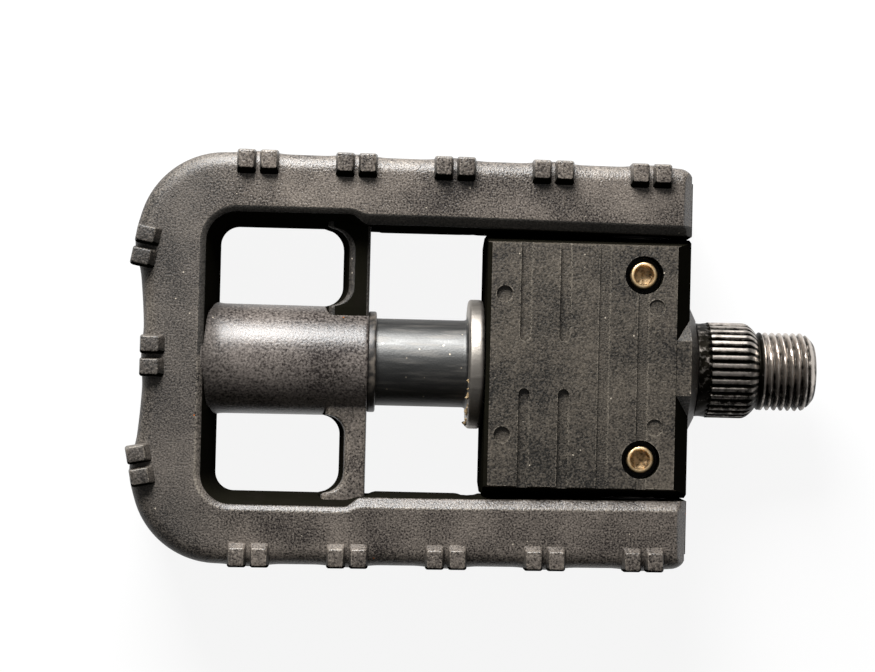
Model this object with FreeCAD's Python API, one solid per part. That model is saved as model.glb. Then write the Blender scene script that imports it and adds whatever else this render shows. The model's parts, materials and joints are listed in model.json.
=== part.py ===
"""Folding bicycle pedal for the right-hand crank, as an assembly of its separate pieces.

A plastic hub block turns on a steel spindle. The toothed frame swings on two pins in the block,
and a sprung steel sleeve in the frame bears on the end of the block and holds the frame straight.

Frame of reference, in millimetres: the origin is on the spindle's axis at the shoulder that meets
the crank, +X runs along the spindle into the crank, +Y is to the rear of the bicycle, +Z is up.
"""

import FreeCAD, Part
import math
import os

# Fits and clearances
RUNNING_GAP = 0.04
SEAT_GAP = 0.02
FREE_GAP = 0.3

# Spindle: crank thread 9/16 inch by 20 turns, serrated collar, journals
THREAD_R = 14.2875 / 2
THREAD_LENGTH = 10.7
THREAD_LEAD_IN = 1.5
COLLAR_R = 8.75
COLLAR_LENGTH = 9.0
COLLAR_CHAMFER_LENGTH = 2.4
COLLAR_CHAMFER_DEPTH = 1.7
SERRATION_COUNT = 36
SERRATION_DEPTH = 0.55
SERRATION_GROOVE_SHARE = 0.62
LAND_R = 8.5
LAND_LENGTH = 2.1
JOURNAL_R = 6.0
OUTER_JOURNAL_R = 5.0
JOURNAL_TAPER = 2.0
STUD_R = 4.0
KEY_SOCKET_FLATS = 6.0
KEY_SOCKET_DEPTH = 8.0

# Hub block
BOSS_SIDES = 8
BOSS_LENGTH = 1.6
BOSS_TIP_R = 8.8
BOSS_BASE_R = 11.8
BLOCK_LENGTH = 36.8
BLOCK_WIDTH = 46.8
BLOCK_HEIGHT = 24.0
BLOCK_SIDE_CHAMFER = 1.1
BLOCK_OUTER_CHAMFER = 0.7
BLOCK_INNER_CHAMFER_X = 2.8
BLOCK_INNER_CHAMFER_Z = 4.0
GRIP_GROOVE_WIDTH = 2.0
GRIP_GROOVE_DEPTH = 0.6
GRIP_GROOVE_PITCH = 7.05
SPLIT_GROOVES = 2
GRIP_GROOVE_FIRST = 6.9
GRIP_GROOVE_BRIDGE = 8.4
SHALLOW_GROOVE_DEPTH = 0.3
MARK_R = 1.5
MARK_DEPTH = 0.5
MARK_SHALLOW_DEPTH = 0.25
MARK_OUTER_Y = 12.6
MARK_OUTER_SETBACK = 3.1
MARK_INNER_Y = 10.7
MARK_INNER_SETBACK = 6.4

# Hub bearings: a plain bush at each end, a seal at the crank end, a nut and a cap at the outer end
HUB_BUSH_WALL = 1.0
INNER_BUSH_LENGTH = 16.0
OUTER_BUSH_LENGTH = 9.0
SEAL_R = 8.0
SEAL_LENGTH = 2.3
END_PLAY = 0.1
WASHER_R = 7.6
WASHER_THICKNESS = 1.0
NUT_FLATS = 13.0
NUT_THICKNESS = 4.0
CAP_R = 9.2
CAP_THICKNESS = 1.3
CAP_SUNK = 0.2

# Fold hinge
HINGE_SETBACK = 8.8
HINGE_PIN_R = 4.0
HINGE_PIN_SUNK = 0.9
HINGE_PIN_INNER_Y = 12.8
PIN_CHAMFER = 0.4
HINGE_BUSH_WALL = 1.0
HINGE_BUSH_LENGTH = 9.0
HINGE_BUSH_FLANGE_R = 6.5
HINGE_BUSH_FLANGE = 0.8

# Pin screws M3 with nuts
SCREW_Y = 16.5
SCREW_R = 1.5
SCREW_HEAD_R = 2.75
SCREW_HEAD_HEIGHT = 3.0
SCREW_HEAD_CHAMFER = 0.35
SCREW_KEY_FLATS = 2.5
SCREW_KEY_DEPTH = 1.5
SCREW_HOLE_R = 1.65
SCREW_SUNK = 2.0
COUNTERBORE_R = 3.45
SCREW_NUT_FLATS = 5.5
SCREW_NUT_HEIGHT = 2.4
SCREW_NUT_SUNK = 1.6
SCREW_TIP = 0.5

# Lock sleeve, its bush, clip and spring
SLEEVE_GAP = 0.25
SLEEVE_R = 7.95
SLEEVE_WALL = 1.75
SLEEVE_EXPOSED = 16.65
SLEEVE_TAIL = 14.4
SLEEVE_END = 3.9
SLEEVE_TRAVEL = 14.4
SLEEVE_SPARE_TRAVEL = 1.0
FLANGE_R = 11.8
FLANGE_THICKNESS = 2.7
FLANGE_EDGE = 0.6
BUSH_WALL = 0.65
BUSH_LIP = 1.45
BUSH_LIP_R = 9.2
BUSH_LENGTH = 10.4
CLIP_SETBACK = 0.8
CLIP_THICKNESS = 0.9
CLIP_HEIGHT = 0.5
CLIP_DEPTH = 0.6
CLIP_MOUTH = 60.0
SPRING_WIRE_R = 0.7
SPRING_R = 5.0
SPRING_TURNS = 8
SPRING_SIDES = 6
SPRING_STEPS = 10
SPRING_POCKET = 3.0
SPRING_SEAT_THICKNESS = 0.8

# Frame
RIM_HEIGHT = 23.0
RIM_BEVEL = 1.3
ARM_GAP = 1.0
ARM_WIDTH = 12.4
ARM_TAPER = 0.8
ARM_END_R = 2.6
ARM_LIP_Y = 1.5
ARM_LIP_Z = 1.9
TUBE_BOSS_R = 9.9
RIB_THICKNESS = 2.65
RIB_HEIGHT = 13.0
RIB_GUSSET_R = 3.5
WINDOW_LENGTH = 27.45
WINDOW_STEP = 2.5
WINDOW_DRAFT = 2.4
WINDOW_CORNER_R = 4.2
END_BAR = 11.6
END_DISH = 1.6
CORNER_R = 15.5

# Grip teeth, in pairs along the rim
TOOTH_WIDTH = 3.4
TOOTH_LENGTH = 4.1
TOOTH_HEIGHT = 2.1
TOOTH_CHAMFER = 0.6
TOOTH_PROUD = 0.5
TOOTH_ROOT = 1.5
TOOTH_PITCH = 4.05
PAIR_PITCH = 17.6
PAIR_FIRST_SETBACK = 7.9
PAIRS_PER_ARM = 5
END_PAIR_Y = 19.8
END_PAIR_TILT = 11.0
LOBE_WIDTH = 11.0
LOBE_RISE = 0.5

# Stations along the spindle's axis, from the crank outwards
LAND_X = -COLLAR_LENGTH - LAND_LENGTH
BOSS_TIP_X = LAND_X - FREE_GAP
BLOCK_INNER_X = BOSS_TIP_X - BOSS_LENGTH
BLOCK_OUTER_X = BLOCK_INNER_X - BLOCK_LENGTH
HINGE_X = BLOCK_INNER_X - HINGE_SETBACK
FLANGE_X = BLOCK_OUTER_X - SLEEVE_GAP
SLEEVE_X = FLANGE_X - FLANGE_THICKNESS
LIP_X = SLEEVE_X - SLEEVE_EXPOSED
TUBE_BOSS_X = LIP_X - BUSH_LIP
BUSH_END_X = TUBE_BOSS_X - BUSH_LENGTH
SLEEVE_TAIL_X = LIP_X - SLEEVE_TAIL
RIB_OUTER_X = TUBE_BOSS_X - RIB_THICKNESS
WINDOW_OUTER_X = RIB_OUTER_X - WINDOW_LENGTH
FRAME_OUTER_X = WINDOW_OUTER_X - END_BAR
ARM_END_X = BLOCK_INNER_X
TUBE_BORE_X = SLEEVE_TAIL_X - SLEEVE_TRAVEL - SLEEVE_SPARE_TRAVEL
POCKET_X = TUBE_BORE_X - SPRING_POCKET
SPRING_FOOT_X = POCKET_X + SPRING_SEAT_THICKNESS
SPRING_HEAD_X = FLANGE_X - SLEEVE_END

# Stations of the hub's bearings and of what closes its outer end
CAP_X = BLOCK_OUTER_X + CAP_SUNK
CAP_INNER_X = CAP_X + CAP_THICKNESS
STUD_TIP_X = CAP_INNER_X + FREE_GAP
NUT_X = STUD_TIP_X + FREE_GAP
WASHER_X = NUT_X + NUT_THICKNESS
SHOULDER_X = WASHER_X + WASHER_THICKNESS
OUTER_BUSH_X = SHOULDER_X + END_PLAY
OUTER_BUSH_END_X = OUTER_BUSH_X + OUTER_BUSH_LENGTH
SEAL_X = BOSS_TIP_X - SEAL_LENGTH
INNER_BUSH_X = SEAL_X - INNER_BUSH_LENGTH

# Sizes that follow from the fits
RIM_TOP = RIM_HEIGHT / 2
BLOCK_TOP = BLOCK_HEIGHT / 2
ARM_INNER_Y = BLOCK_WIDTH / 2 + ARM_GAP
ARM_OUTER_Y = ARM_INNER_Y + ARM_WIDTH
ARM_END_Y = ARM_OUTER_Y - ARM_TAPER
INNER_BUSH_R = JOURNAL_R + RUNNING_GAP + HUB_BUSH_WALL
OUTER_BUSH_R = OUTER_JOURNAL_R + RUNNING_GAP + HUB_BUSH_WALL
SPRING_SEAT_R = SPRING_R + 2 * SPRING_WIRE_R - FREE_GAP
SLEEVE_BORE_R = SLEEVE_R - SLEEVE_WALL
BUSH_R = SLEEVE_R + RUNNING_GAP + BUSH_WALL
HINGE_BUSH_R = HINGE_PIN_R + RUNNING_GAP + HINGE_BUSH_WALL
SCREW_HEAD_Z = BLOCK_TOP - SCREW_SUNK
SCREW_SEAT_Z = SCREW_HEAD_Z - SCREW_HEAD_HEIGHT
SCREW_NUT_Z = -BLOCK_TOP + SCREW_NUT_SUNK
SIDES = (1, -1)

X_AXIS = FreeCAD.Vector(1, 0, 0)
Y_AXIS = FreeCAD.Vector(0, 1, 0)
Z_AXIS = FreeCAD.Vector(0, 0, 1)
ORIGIN = FreeCAD.Vector(0, 0, 0)
OVERCUT = 1.0


def vec(x, y, z=0.0):
    return FreeCAD.Vector(x, y, z)


def face_of(points):
    """Plane face inside a closed polygon of vectors."""
    return Part.Face(Part.makePolygon(list(points) + [points[0]]))


def turned(profile):
    """Solid of revolution about the spindle's axis from (x, radius) points."""
    return face_of([vec(x, r) for x, r in profile]).revolve(ORIGIN, X_AXIS, 360)


def ring(outer_r, inner_r, x0, x1):
    return turned([(x0, inner_r), (x1, inner_r), (x1, outer_r), (x0, outer_r)])


def rod_x(radius, x0, x1):
    return Part.makeCylinder(radius, x1 - x0, vec(x0, 0), X_AXIS)


def rod_y(radius, y0, y1, x, z=0.0):
    return Part.makeCylinder(radius, y1 - y0, vec(x, y0, z), Y_AXIS)


def rod_z(radius, z0, z1, x, y):
    return Part.makeCylinder(radius, z1 - z0, vec(x, y, z0), Z_AXIS)


def box(x0, x1, y0, y1, z0, z1):
    return Part.makeBox(x1 - x0, y1 - y0, z1 - z0, vec(x0, y0, z0))


def prism_along_x(outline, x0, x1):
    """Prism along X on (y, z) points."""
    return face_of([vec(x0, y, z) for y, z in outline]).extrude(vec(x1 - x0, 0))


def prism_along_y(outline, y0, y1):
    """Prism along Y on (x, z) points."""
    return face_of([vec(x, y0, z) for x, z in outline]).extrude(vec(0, y1 - y0))


def polygon_points(count, flats):
    """Corners of a regular polygon, given across its flats."""
    corner_r = flats / 2 / math.cos(math.pi / count)
    angles = [2 * math.pi * (k + 0.5) / count for k in range(count)]
    return [(corner_r * math.cos(a), corner_r * math.sin(a)) for a in angles]


def hex_prism_x(flats, x0, x1):
    return prism_along_x(polygon_points(6, flats), x0, x1)


def hex_prism_z(flats, z0, z1, x, y):
    corners = [vec(x + px, y + py, z0) for px, py in polygon_points(6, flats)]
    return face_of(corners).extrude(vec(0, 0, z1 - z0))


def mirrored_y(shape):
    return shape.mirror(ORIGIN, Y_AXIS)


def mirrored_z(shape):
    return shape.mirror(ORIGIN, Z_AXIS)


def both_faces(shape):
    """The shape on the top face and its image on the bottom face."""
    return [shape, mirrored_z(shape)]


def fused(shapes):
    shapes = list(shapes)
    return shapes[0].fuse(shapes[1:]).removeSplitter()


# Spindle and what is clamped to it
def serrated_bar():
    """Bar with the collar's cross-section: flat-topped ridges parted by V grooves."""
    step = 2 * math.pi / SERRATION_COUNT
    half_groove = step * SERRATION_GROOVE_SHARE / 2
    outline = []
    for k in range(SERRATION_COUNT):
        middle = k * step
        valley_r = COLLAR_R - SERRATION_DEPTH
        for angle, radius in ((middle, valley_r), (middle + half_groove, COLLAR_R + SEAT_GAP),
                              (middle + step - half_groove, COLLAR_R + SEAT_GAP)):
            outline.append((radius * math.cos(angle), radius * math.sin(angle)))
    return prism_along_x(outline, -COLLAR_LENGTH, 0)


def make_spindle():
    collar = turned([(-COLLAR_LENGTH, 0), (-COLLAR_LENGTH, COLLAR_R), (-COLLAR_CHAMFER_LENGTH, COLLAR_R),
                     (0, COLLAR_R - COLLAR_CHAMFER_DEPTH), (0, 0)]).common(serrated_bar())
    crank_end = turned([(0, 0), (0, THREAD_R), (THREAD_LENGTH - THREAD_LEAD_IN, THREAD_R),
                        (THREAD_LENGTH, THREAD_R - THREAD_LEAD_IN), (THREAD_LENGTH, 0)])
    journal = turned([(-COLLAR_LENGTH, 0), (-COLLAR_LENGTH, LAND_R), (LAND_X, LAND_R), (LAND_X, JOURNAL_R),
                      (INNER_BUSH_X, JOURNAL_R), (INNER_BUSH_X - JOURNAL_TAPER, OUTER_JOURNAL_R),
                      (SHOULDER_X, OUTER_JOURNAL_R), (SHOULDER_X, STUD_R), (STUD_TIP_X, STUD_R),
                      (STUD_TIP_X, 0)])
    socket = hex_prism_x(KEY_SOCKET_FLATS, THREAD_LENGTH - KEY_SOCKET_DEPTH, THREAD_LENGTH + OVERCUT)
    return fused([collar, crank_end, journal]).cut(socket)


def make_spindle_washer():
    return ring(WASHER_R, STUD_R + SEAT_GAP, WASHER_X, SHOULDER_X)


def make_spindle_nut():
    hole = rod_x(STUD_R + SEAT_GAP, NUT_X - OVERCUT, WASHER_X + OVERCUT)
    return hex_prism_x(NUT_FLATS, NUT_X, WASHER_X).cut(hole)


# Hub block and what is seated in it
def block_blank():
    """Block with its edges bevelled: a profile along Y common to a profile along X."""
    half = BLOCK_WIDTH / 2
    top = BLOCK_TOP
    lengthwise = [(BLOCK_OUTER_X, BLOCK_OUTER_CHAMFER - top), (BLOCK_OUTER_X, top - BLOCK_OUTER_CHAMFER),
                  (BLOCK_OUTER_X + BLOCK_OUTER_CHAMFER, top), (BLOCK_INNER_X - BLOCK_INNER_CHAMFER_X, top),
                  (BLOCK_INNER_X, top - BLOCK_INNER_CHAMFER_Z), (BLOCK_INNER_X, BLOCK_INNER_CHAMFER_Z - top),
                  (BLOCK_INNER_X - BLOCK_INNER_CHAMFER_X, -top),
                  (BLOCK_OUTER_X + BLOCK_OUTER_CHAMFER, -top)]
    bevel = BLOCK_SIDE_CHAMFER
    across = [(half, bevel - top), (half, top - bevel), (half - bevel, top), (bevel - half, top),
              (-half, top - bevel), (-half, bevel - top), (bevel - half, -top), (half - bevel, -top)]
    return prism_along_y(lengthwise, -half, half).common(prism_along_x(across, BLOCK_OUTER_X, BLOCK_INNER_X))


def boss_nose():
    """Eight-sided nose round the spindle: a short prism in the block, then a taper to the tip."""
    root_x = BLOCK_INNER_X - BLOCK_INNER_CHAMFER_X

    def section(x, inradius):
        corners = [vec(x, y, z) for y, z in polygon_points(BOSS_SIDES, 2 * inradius)]
        return Part.makePolygon(corners + [corners[0]])

    base = Part.Face(section(root_x, BOSS_BASE_R)).extrude(vec(BLOCK_INNER_X - root_x, 0))
    taper = Part.makeLoft([section(BLOCK_INNER_X, BOSS_BASE_R), section(BOSS_TIP_X, BOSS_TIP_R)], True, True)
    return base.fuse(taper)


def slot_cutter(x, y0, y1, depth):
    """Round-ended groove along Y in the block's top face."""
    half = GRIP_GROOVE_WIDTH / 2
    floor = BLOCK_TOP - depth
    ends = [rod_z(half, floor, BLOCK_TOP + OVERCUT, x, y) for y in (y0, y1)]
    return box(x - half, x + half, y0, y1, floor, BLOCK_TOP + OVERCUT).fuse(ends)


def grip_grooves():
    """Two grooves that stop short of the middle, then two shallow ones from side to side."""
    past_edge = BLOCK_WIDTH / 2 + GRIP_GROOVE_WIDTH
    bridge = GRIP_GROOVE_BRIDGE / 2 + GRIP_GROOVE_WIDTH / 2
    first = BLOCK_OUTER_X + GRIP_GROOVE_FIRST
    cutters = []
    for k in range(SPLIT_GROOVES):
        x = first + k * GRIP_GROOVE_PITCH
        cutters.append(slot_cutter(x, bridge, past_edge, GRIP_GROOVE_DEPTH))
        cutters.append(slot_cutter(x, -past_edge, -bridge, GRIP_GROOVE_DEPTH))
    for x in (first + SPLIT_GROOVES * GRIP_GROOVE_PITCH, HINGE_X):
        cutters.append(slot_cutter(x, -past_edge, past_edge, SHALLOW_GROOVE_DEPTH))
    return cutters


def ejector_marks():
    """Round moulding marks in the top face."""
    places = ((BLOCK_OUTER_X + MARK_OUTER_SETBACK, MARK_OUTER_Y, MARK_DEPTH),
              (BLOCK_INNER_X - MARK_INNER_SETBACK, MARK_INNER_Y, MARK_SHALLOW_DEPTH))
    return [rod_z(MARK_R, BLOCK_TOP - depth, BLOCK_TOP + OVERCUT, x, side * y)
            for x, y, depth in places for side in SIDES]


def hub_bores():
    """Stepped bore on the spindle's axis, blind pin holes, and the screws' holes with their seats."""
    cutters = [rod_x(SEAL_R + SEAT_GAP, SEAL_X, BOSS_TIP_X + OVERCUT),
               rod_x(INNER_BUSH_R + SEAT_GAP, INNER_BUSH_X - JOURNAL_TAPER, SEAL_X),
               rod_x(OUTER_BUSH_R + SEAT_GAP, OUTER_BUSH_X, INNER_BUSH_X),
               rod_x(CAP_R + SEAT_GAP, BLOCK_OUTER_X - OVERCUT, OUTER_BUSH_X)]
    pin_hole = rod_y(HINGE_PIN_R + SEAT_GAP, HINGE_PIN_INNER_Y - SEAT_GAP, BLOCK_WIDTH / 2 + OVERCUT, HINGE_X)
    cutters += [pin_hole, mirrored_y(pin_hole)]
    nut_flats = SCREW_NUT_FLATS + 2 * SEAT_GAP
    for side in SIDES:
        y = side * SCREW_Y
        cutters.append(rod_z(SCREW_HOLE_R, -BLOCK_TOP, BLOCK_TOP, HINGE_X, y))
        cutters.append(rod_z(COUNTERBORE_R, SCREW_SEAT_Z, BLOCK_TOP + OVERCUT, HINGE_X, y))
        cutters.append(hex_prism_z(nut_flats, -BLOCK_TOP - OVERCUT, SCREW_NUT_Z + SCREW_NUT_HEIGHT, HINGE_X, y))
    return cutters


def make_hub_block():
    grooves = [cutter for groove in grip_grooves() for cutter in both_faces(groove)]
    body = fused([block_blank(), boss_nose()])
    return body.cut(hub_bores() + grooves + ejector_marks())


def make_inner_bush():
    return ring(INNER_BUSH_R, JOURNAL_R + RUNNING_GAP, INNER_BUSH_X, SEAL_X)


def make_outer_bush():
    return ring(OUTER_BUSH_R, OUTER_JOURNAL_R + RUNNING_GAP, OUTER_BUSH_X, OUTER_BUSH_END_X)


def make_shaft_seal():
    return ring(SEAL_R, JOURNAL_R + RUNNING_GAP, SEAL_X, BOSS_TIP_X)


def make_end_cap():
    """Plug that closes the hub's outer end over the nut."""
    return rod_x(CAP_R, CAP_X, CAP_INNER_X)


def make_hinge_pin():
    """Rear pin: chamfered outer end and a cross hole for its screw."""
    y0 = HINGE_PIN_INNER_Y
    y1 = ARM_END_Y - HINGE_PIN_SUNK
    outline = [(0, y0), (HINGE_PIN_R, y0), (HINGE_PIN_R, y1 - PIN_CHAMFER), (HINGE_PIN_R - PIN_CHAMFER, y1),
               (0, y1)]
    blank = face_of([vec(HINGE_X + r, y) for r, y in outline]).revolve(vec(HINGE_X, 0), Y_AXIS, 360)
    return blank.cut(rod_z(SCREW_HOLE_R, -HINGE_PIN_R - OVERCUT, HINGE_PIN_R + OVERCUT, HINGE_X, SCREW_Y))


def make_screw(y):
    """Socket head cap screw, its thread left plain."""
    tip_z = SCREW_NUT_Z - SCREW_TIP
    bevel = SCREW_HEAD_CHAMFER
    outline = [(0, tip_z), (SCREW_R, tip_z), (SCREW_R, SCREW_SEAT_Z), (SCREW_HEAD_R, SCREW_SEAT_Z),
               (SCREW_HEAD_R, SCREW_HEAD_Z - bevel), (SCREW_HEAD_R - bevel, SCREW_HEAD_Z), (0, SCREW_HEAD_Z)]
    blank = face_of([vec(HINGE_X + r, y, z) for r, z in outline]).revolve(vec(HINGE_X, y), Z_AXIS, 360)
    return blank.cut(hex_prism_z(SCREW_KEY_FLATS, SCREW_HEAD_Z - SCREW_KEY_DEPTH, SCREW_HEAD_Z + OVERCUT,
                                 HINGE_X, y))


def make_screw_nut(y):
    blank = hex_prism_z(SCREW_NUT_FLATS, SCREW_NUT_Z, SCREW_NUT_Z + SCREW_NUT_HEIGHT, HINGE_X, y)
    return blank.cut(rod_z(SCREW_R + SEAT_GAP, -BLOCK_TOP, 0, HINGE_X, y))


# Lock sleeve group
def make_lock_sleeve():
    """Tube closed by a flange at the hub's end, with a groove for the clip near its tail."""
    groove_x = SLEEVE_TAIL_X + CLIP_SETBACK
    groove_r = SLEEVE_R - CLIP_DEPTH
    return turned([(FLANGE_X, 0), (FLANGE_X, FLANGE_R - FLANGE_EDGE), (FLANGE_X - FLANGE_EDGE, FLANGE_R),
                   (SLEEVE_X, FLANGE_R), (SLEEVE_X, SLEEVE_R), (groove_x + CLIP_THICKNESS, SLEEVE_R),
                   (groove_x + CLIP_THICKNESS, groove_r), (groove_x, groove_r), (groove_x, SLEEVE_R),
                   (SLEEVE_TAIL_X, SLEEVE_R), (SLEEVE_TAIL_X, SLEEVE_BORE_R), (SPRING_HEAD_X, SLEEVE_BORE_R),
                   (SPRING_HEAD_X, 0)])


def make_sleeve_clip():
    """Open snap ring in the sleeve's groove: it meets the bush if the sleeve is drawn out."""
    x0 = SLEEVE_TAIL_X + CLIP_SETBACK + SEAT_GAP
    x1 = x0 + CLIP_THICKNESS - 2 * SEAT_GAP
    inner_r = SLEEVE_R - CLIP_DEPTH + SEAT_GAP
    profile = face_of([vec(x, r) for x, r in ((x0, inner_r), (x1, inner_r), (x1, SLEEVE_R + CLIP_HEIGHT),
                                              (x0, SLEEVE_R + CLIP_HEIGHT))])
    profile.rotate(ORIGIN, X_AXIS, CLIP_MOUTH / 2 - 90)
    return profile.revolve(ORIGIN, X_AXIS, 360 - CLIP_MOUTH)


def make_sleeve_bush():
    bore_r = SLEEVE_R + RUNNING_GAP
    return turned([(BUSH_END_X, bore_r), (LIP_X, bore_r), (LIP_X, BUSH_LIP_R), (TUBE_BOSS_X, BUSH_LIP_R),
                   (TUBE_BOSS_X, BUSH_R), (BUSH_END_X, BUSH_R)])


def make_sleeve_spring():
    """Compression spring from its seat in the frame to the sleeve's closed end, in straight short chords."""
    start_x = SPRING_FOOT_X + SPRING_WIRE_R + SEAT_GAP
    length = SPRING_HEAD_X - SPRING_WIRE_R - SEAT_GAP - start_x
    chords = SPRING_TURNS * SPRING_STEPS
    wire_flats = 2 * SPRING_WIRE_R * math.cos(math.pi / SPRING_SIDES)
    sections = []
    for k in range(chords + 1):
        angle = 2 * math.pi * k / SPRING_STEPS
        outward = vec(0, math.cos(angle), math.sin(angle))
        centre = vec(start_x + length * k / chords, 0) + outward * SPRING_R
        wire = [centre + outward * pr + X_AXIS * px
                for pr, px in polygon_points(SPRING_SIDES, wire_flats)]
        sections.append(Part.makePolygon(wire + [wire[0]]))
    return Part.makeLoft(sections, True, True)


def make_spring_seat():
    """Steel disc in the floor of the spring's pocket."""
    return rod_x(SPRING_SEAT_R, POCKET_X, SPRING_FOOT_X)


# Frame
def end_arc():
    """Centre X and radius of the outer end's hollow arc, tangent to both corner arcs."""
    corner_y = ARM_OUTER_Y - CORNER_R
    inner = CORNER_R - END_DISH
    radius = (inner ** 2 + corner_y ** 2 - CORNER_R ** 2) / (2 * END_DISH)
    return FRAME_OUTER_X + END_DISH - radius, radius


def rim_outline():
    """Plan outline: arms that draw in a little to their ends, round corners, a hollow outer end."""
    corner = vec(FRAME_OUTER_X + CORNER_R, ARM_OUTER_Y - CORNER_R)
    centre_x, radius = end_arc()
    slope = math.atan2(corner.y, corner.x - centre_x)
    tangent = vec(centre_x + radius * math.cos(slope), radius * math.sin(slope))
    half_turn = (math.pi / 2 + math.pi + slope) / 2
    corner_mid = corner + vec(CORNER_R * math.cos(half_turn), CORNER_R * math.sin(half_turn))
    arm_start = vec(corner.x, ARM_OUTER_Y)
    arm_stop = vec(ARM_END_X - ARM_END_R, ARM_END_Y)
    end_start = vec(ARM_END_X, ARM_END_Y - ARM_END_R)
    end_mid = vec(ARM_END_X, ARM_END_Y) - vec(1, 1) * (ARM_END_R * (1 - math.sqrt(0.5)))

    def low(point):
        return vec(point.x, -point.y)

    edges = [Part.Arc(low(tangent), vec(centre_x + radius, 0), tangent),
             Part.Arc(tangent, corner_mid, arm_start),
             Part.LineSegment(arm_start, arm_stop),
             Part.Arc(arm_stop, end_mid, end_start),
             Part.LineSegment(end_start, low(end_start)),
             Part.Arc(low(end_start), low(end_mid), low(arm_stop)),
             Part.LineSegment(low(arm_stop), low(arm_start)),
             Part.Arc(low(arm_start), low(corner_mid), low(tangent))]
    return Part.Wire([edge.toShape() for edge in edges])


def rim_blank():
    """The outline at full height, its top and bottom edges bevelled."""
    blank = Part.Face(rim_outline()).extrude(vec(0, 0, RIM_HEIGHT))
    blank.translate(vec(0, 0, -RIM_TOP))
    level = [edge for edge in blank.Edges if abs(edge.BoundBox.ZLength) < SEAT_GAP]
    return blank.makeChamfer(RIM_BEVEL, level)


def window_bay():
    """Hollow between the end bar and the rib: four drafted walls joined by cones in the corners."""
    height = RIM_TOP + OVERCUT
    spread = WINDOW_DRAFT * height / RIM_TOP
    half_y = ARM_INNER_Y + WINDOW_STEP - WINDOW_DRAFT
    outer_x = WINDOW_OUTER_X + WINDOW_DRAFT
    inner_x = RIB_OUTER_X - WINDOW_DRAFT
    corner_r = WINDOW_CORNER_R - WINDOW_DRAFT
    centre_y = half_y - corner_r
    centres_x = (outer_x + corner_r, inner_x - corner_r)
    across = [(half_y, 0), (half_y + spread, height), (-half_y - spread, height), (-half_y, 0)]
    lengthwise = [(outer_x, 0), (outer_x - spread, height), (inner_x + spread, height), (inner_x, 0)]
    pieces = [prism_along_x(across, *centres_x), prism_along_y(lengthwise, -centre_y, centre_y)]
    for x in centres_x:
        for side in SIDES:
            base = vec(x, side * centre_y)
            pieces.append(Part.makeCone(corner_r, corner_r + spread, height, base, Z_AXIS))
    return both_faces(fused(pieces))


def hub_bay():
    """Room for the hub between the arms, with sloped lips, running on over the rib's top and bottom."""
    lip_z = RIM_TOP - ARM_LIP_Z
    past_z = RIM_TOP + OVERCUT
    past_y = ARM_INNER_Y + ARM_LIP_Y * (ARM_LIP_Z + OVERCUT) / ARM_LIP_Z
    half = [(ARM_INNER_Y, -lip_z), (ARM_INNER_Y, lip_z), (past_y, past_z)]
    section = half + [(-y, z) for y, z in reversed(half)] + [(-past_y, -past_z), (past_y, -past_z)]
    room = prism_along_x(section, TUBE_BOSS_X, ARM_END_X + OVERCUT)
    over_rib = prism_along_x(section, RIB_OUTER_X - OVERCUT, TUBE_BOSS_X)
    rib = box(RIB_OUTER_X - 2 * OVERCUT, TUBE_BOSS_X, -past_y, past_y, -RIB_HEIGHT / 2, RIB_HEIGHT / 2)
    return [room, over_rib.cut(rib)]


def tube_boss():
    """Round boss for the sleeve, with a gusset in each corner that it makes with the rib."""
    boss = rod_x(TUBE_BOSS_R, WINDOW_OUTER_X - OVERCUT, TUBE_BOSS_X)
    reach = TUBE_BOSS_R + RIB_GUSSET_R
    buried_y = math.sqrt(TUBE_BOSS_R ** 2 - (RIB_HEIGHT / 2) ** 2) - SEAT_GAP
    centre = vec(RIB_OUTER_X - RIB_GUSSET_R, reach)
    diagonal = RIB_GUSSET_R * math.sqrt(0.5)
    toe = vec(centre.x, TUBE_BOSS_R)
    head = vec(RIB_OUTER_X, reach)
    back = vec(RIB_OUTER_X + OVERCUT, reach)
    edges = [Part.Arc(toe, centre + vec(diagonal, -diagonal), head).toShape(),
             Part.makePolygon([head, back, vec(back.x, buried_y), vec(toe.x, buried_y), toe])]
    gusset = Part.Face(Part.Wire(edges)).extrude(vec(0, 0, RIB_HEIGHT))
    gusset.translate(vec(0, 0, -RIB_HEIGHT / 2))
    return [boss, gusset, mirrored_y(gusset)]


def frame_bores():
    """Bore for the sleeve with the spring's pocket, and the stepped hinge holes."""
    bush_end = ARM_INNER_Y + HINGE_BUSH_LENGTH
    pin_clear_r = HINGE_PIN_R + FREE_GAP
    cutters = [rod_x(BUSH_R + SEAT_GAP, TUBE_BORE_X, TUBE_BOSS_X + OVERCUT),
               rod_x(SPRING_SEAT_R + SEAT_GAP, POCKET_X, TUBE_BORE_X)]
    hinge = rod_y(HINGE_BUSH_R + SEAT_GAP, ARM_INNER_Y - OVERCUT, bush_end, HINGE_X)
    hinge = hinge.fuse(rod_y(pin_clear_r, bush_end, ARM_OUTER_Y + OVERCUT, HINGE_X))
    return cutters + [hinge, mirrored_y(hinge)]


def tooth():
    """One grip tooth on the top of the rim, standing on the outline at X = 0 and facing +X."""
    inner = TOOTH_PROUD - TOOTH_LENGTH
    half = TOOTH_WIDTH / 2
    top = RIM_TOP + TOOTH_HEIGHT
    blank = box(inner, TOOTH_PROUD, -half, half, RIM_TOP - TOOTH_ROOT, top)
    crest = [edge for edge in blank.Edges if edge.BoundBox.ZMin > top - SEAT_GAP]
    return blank.makeChamfer(TOOTH_CHAMFER, crest)


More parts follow.
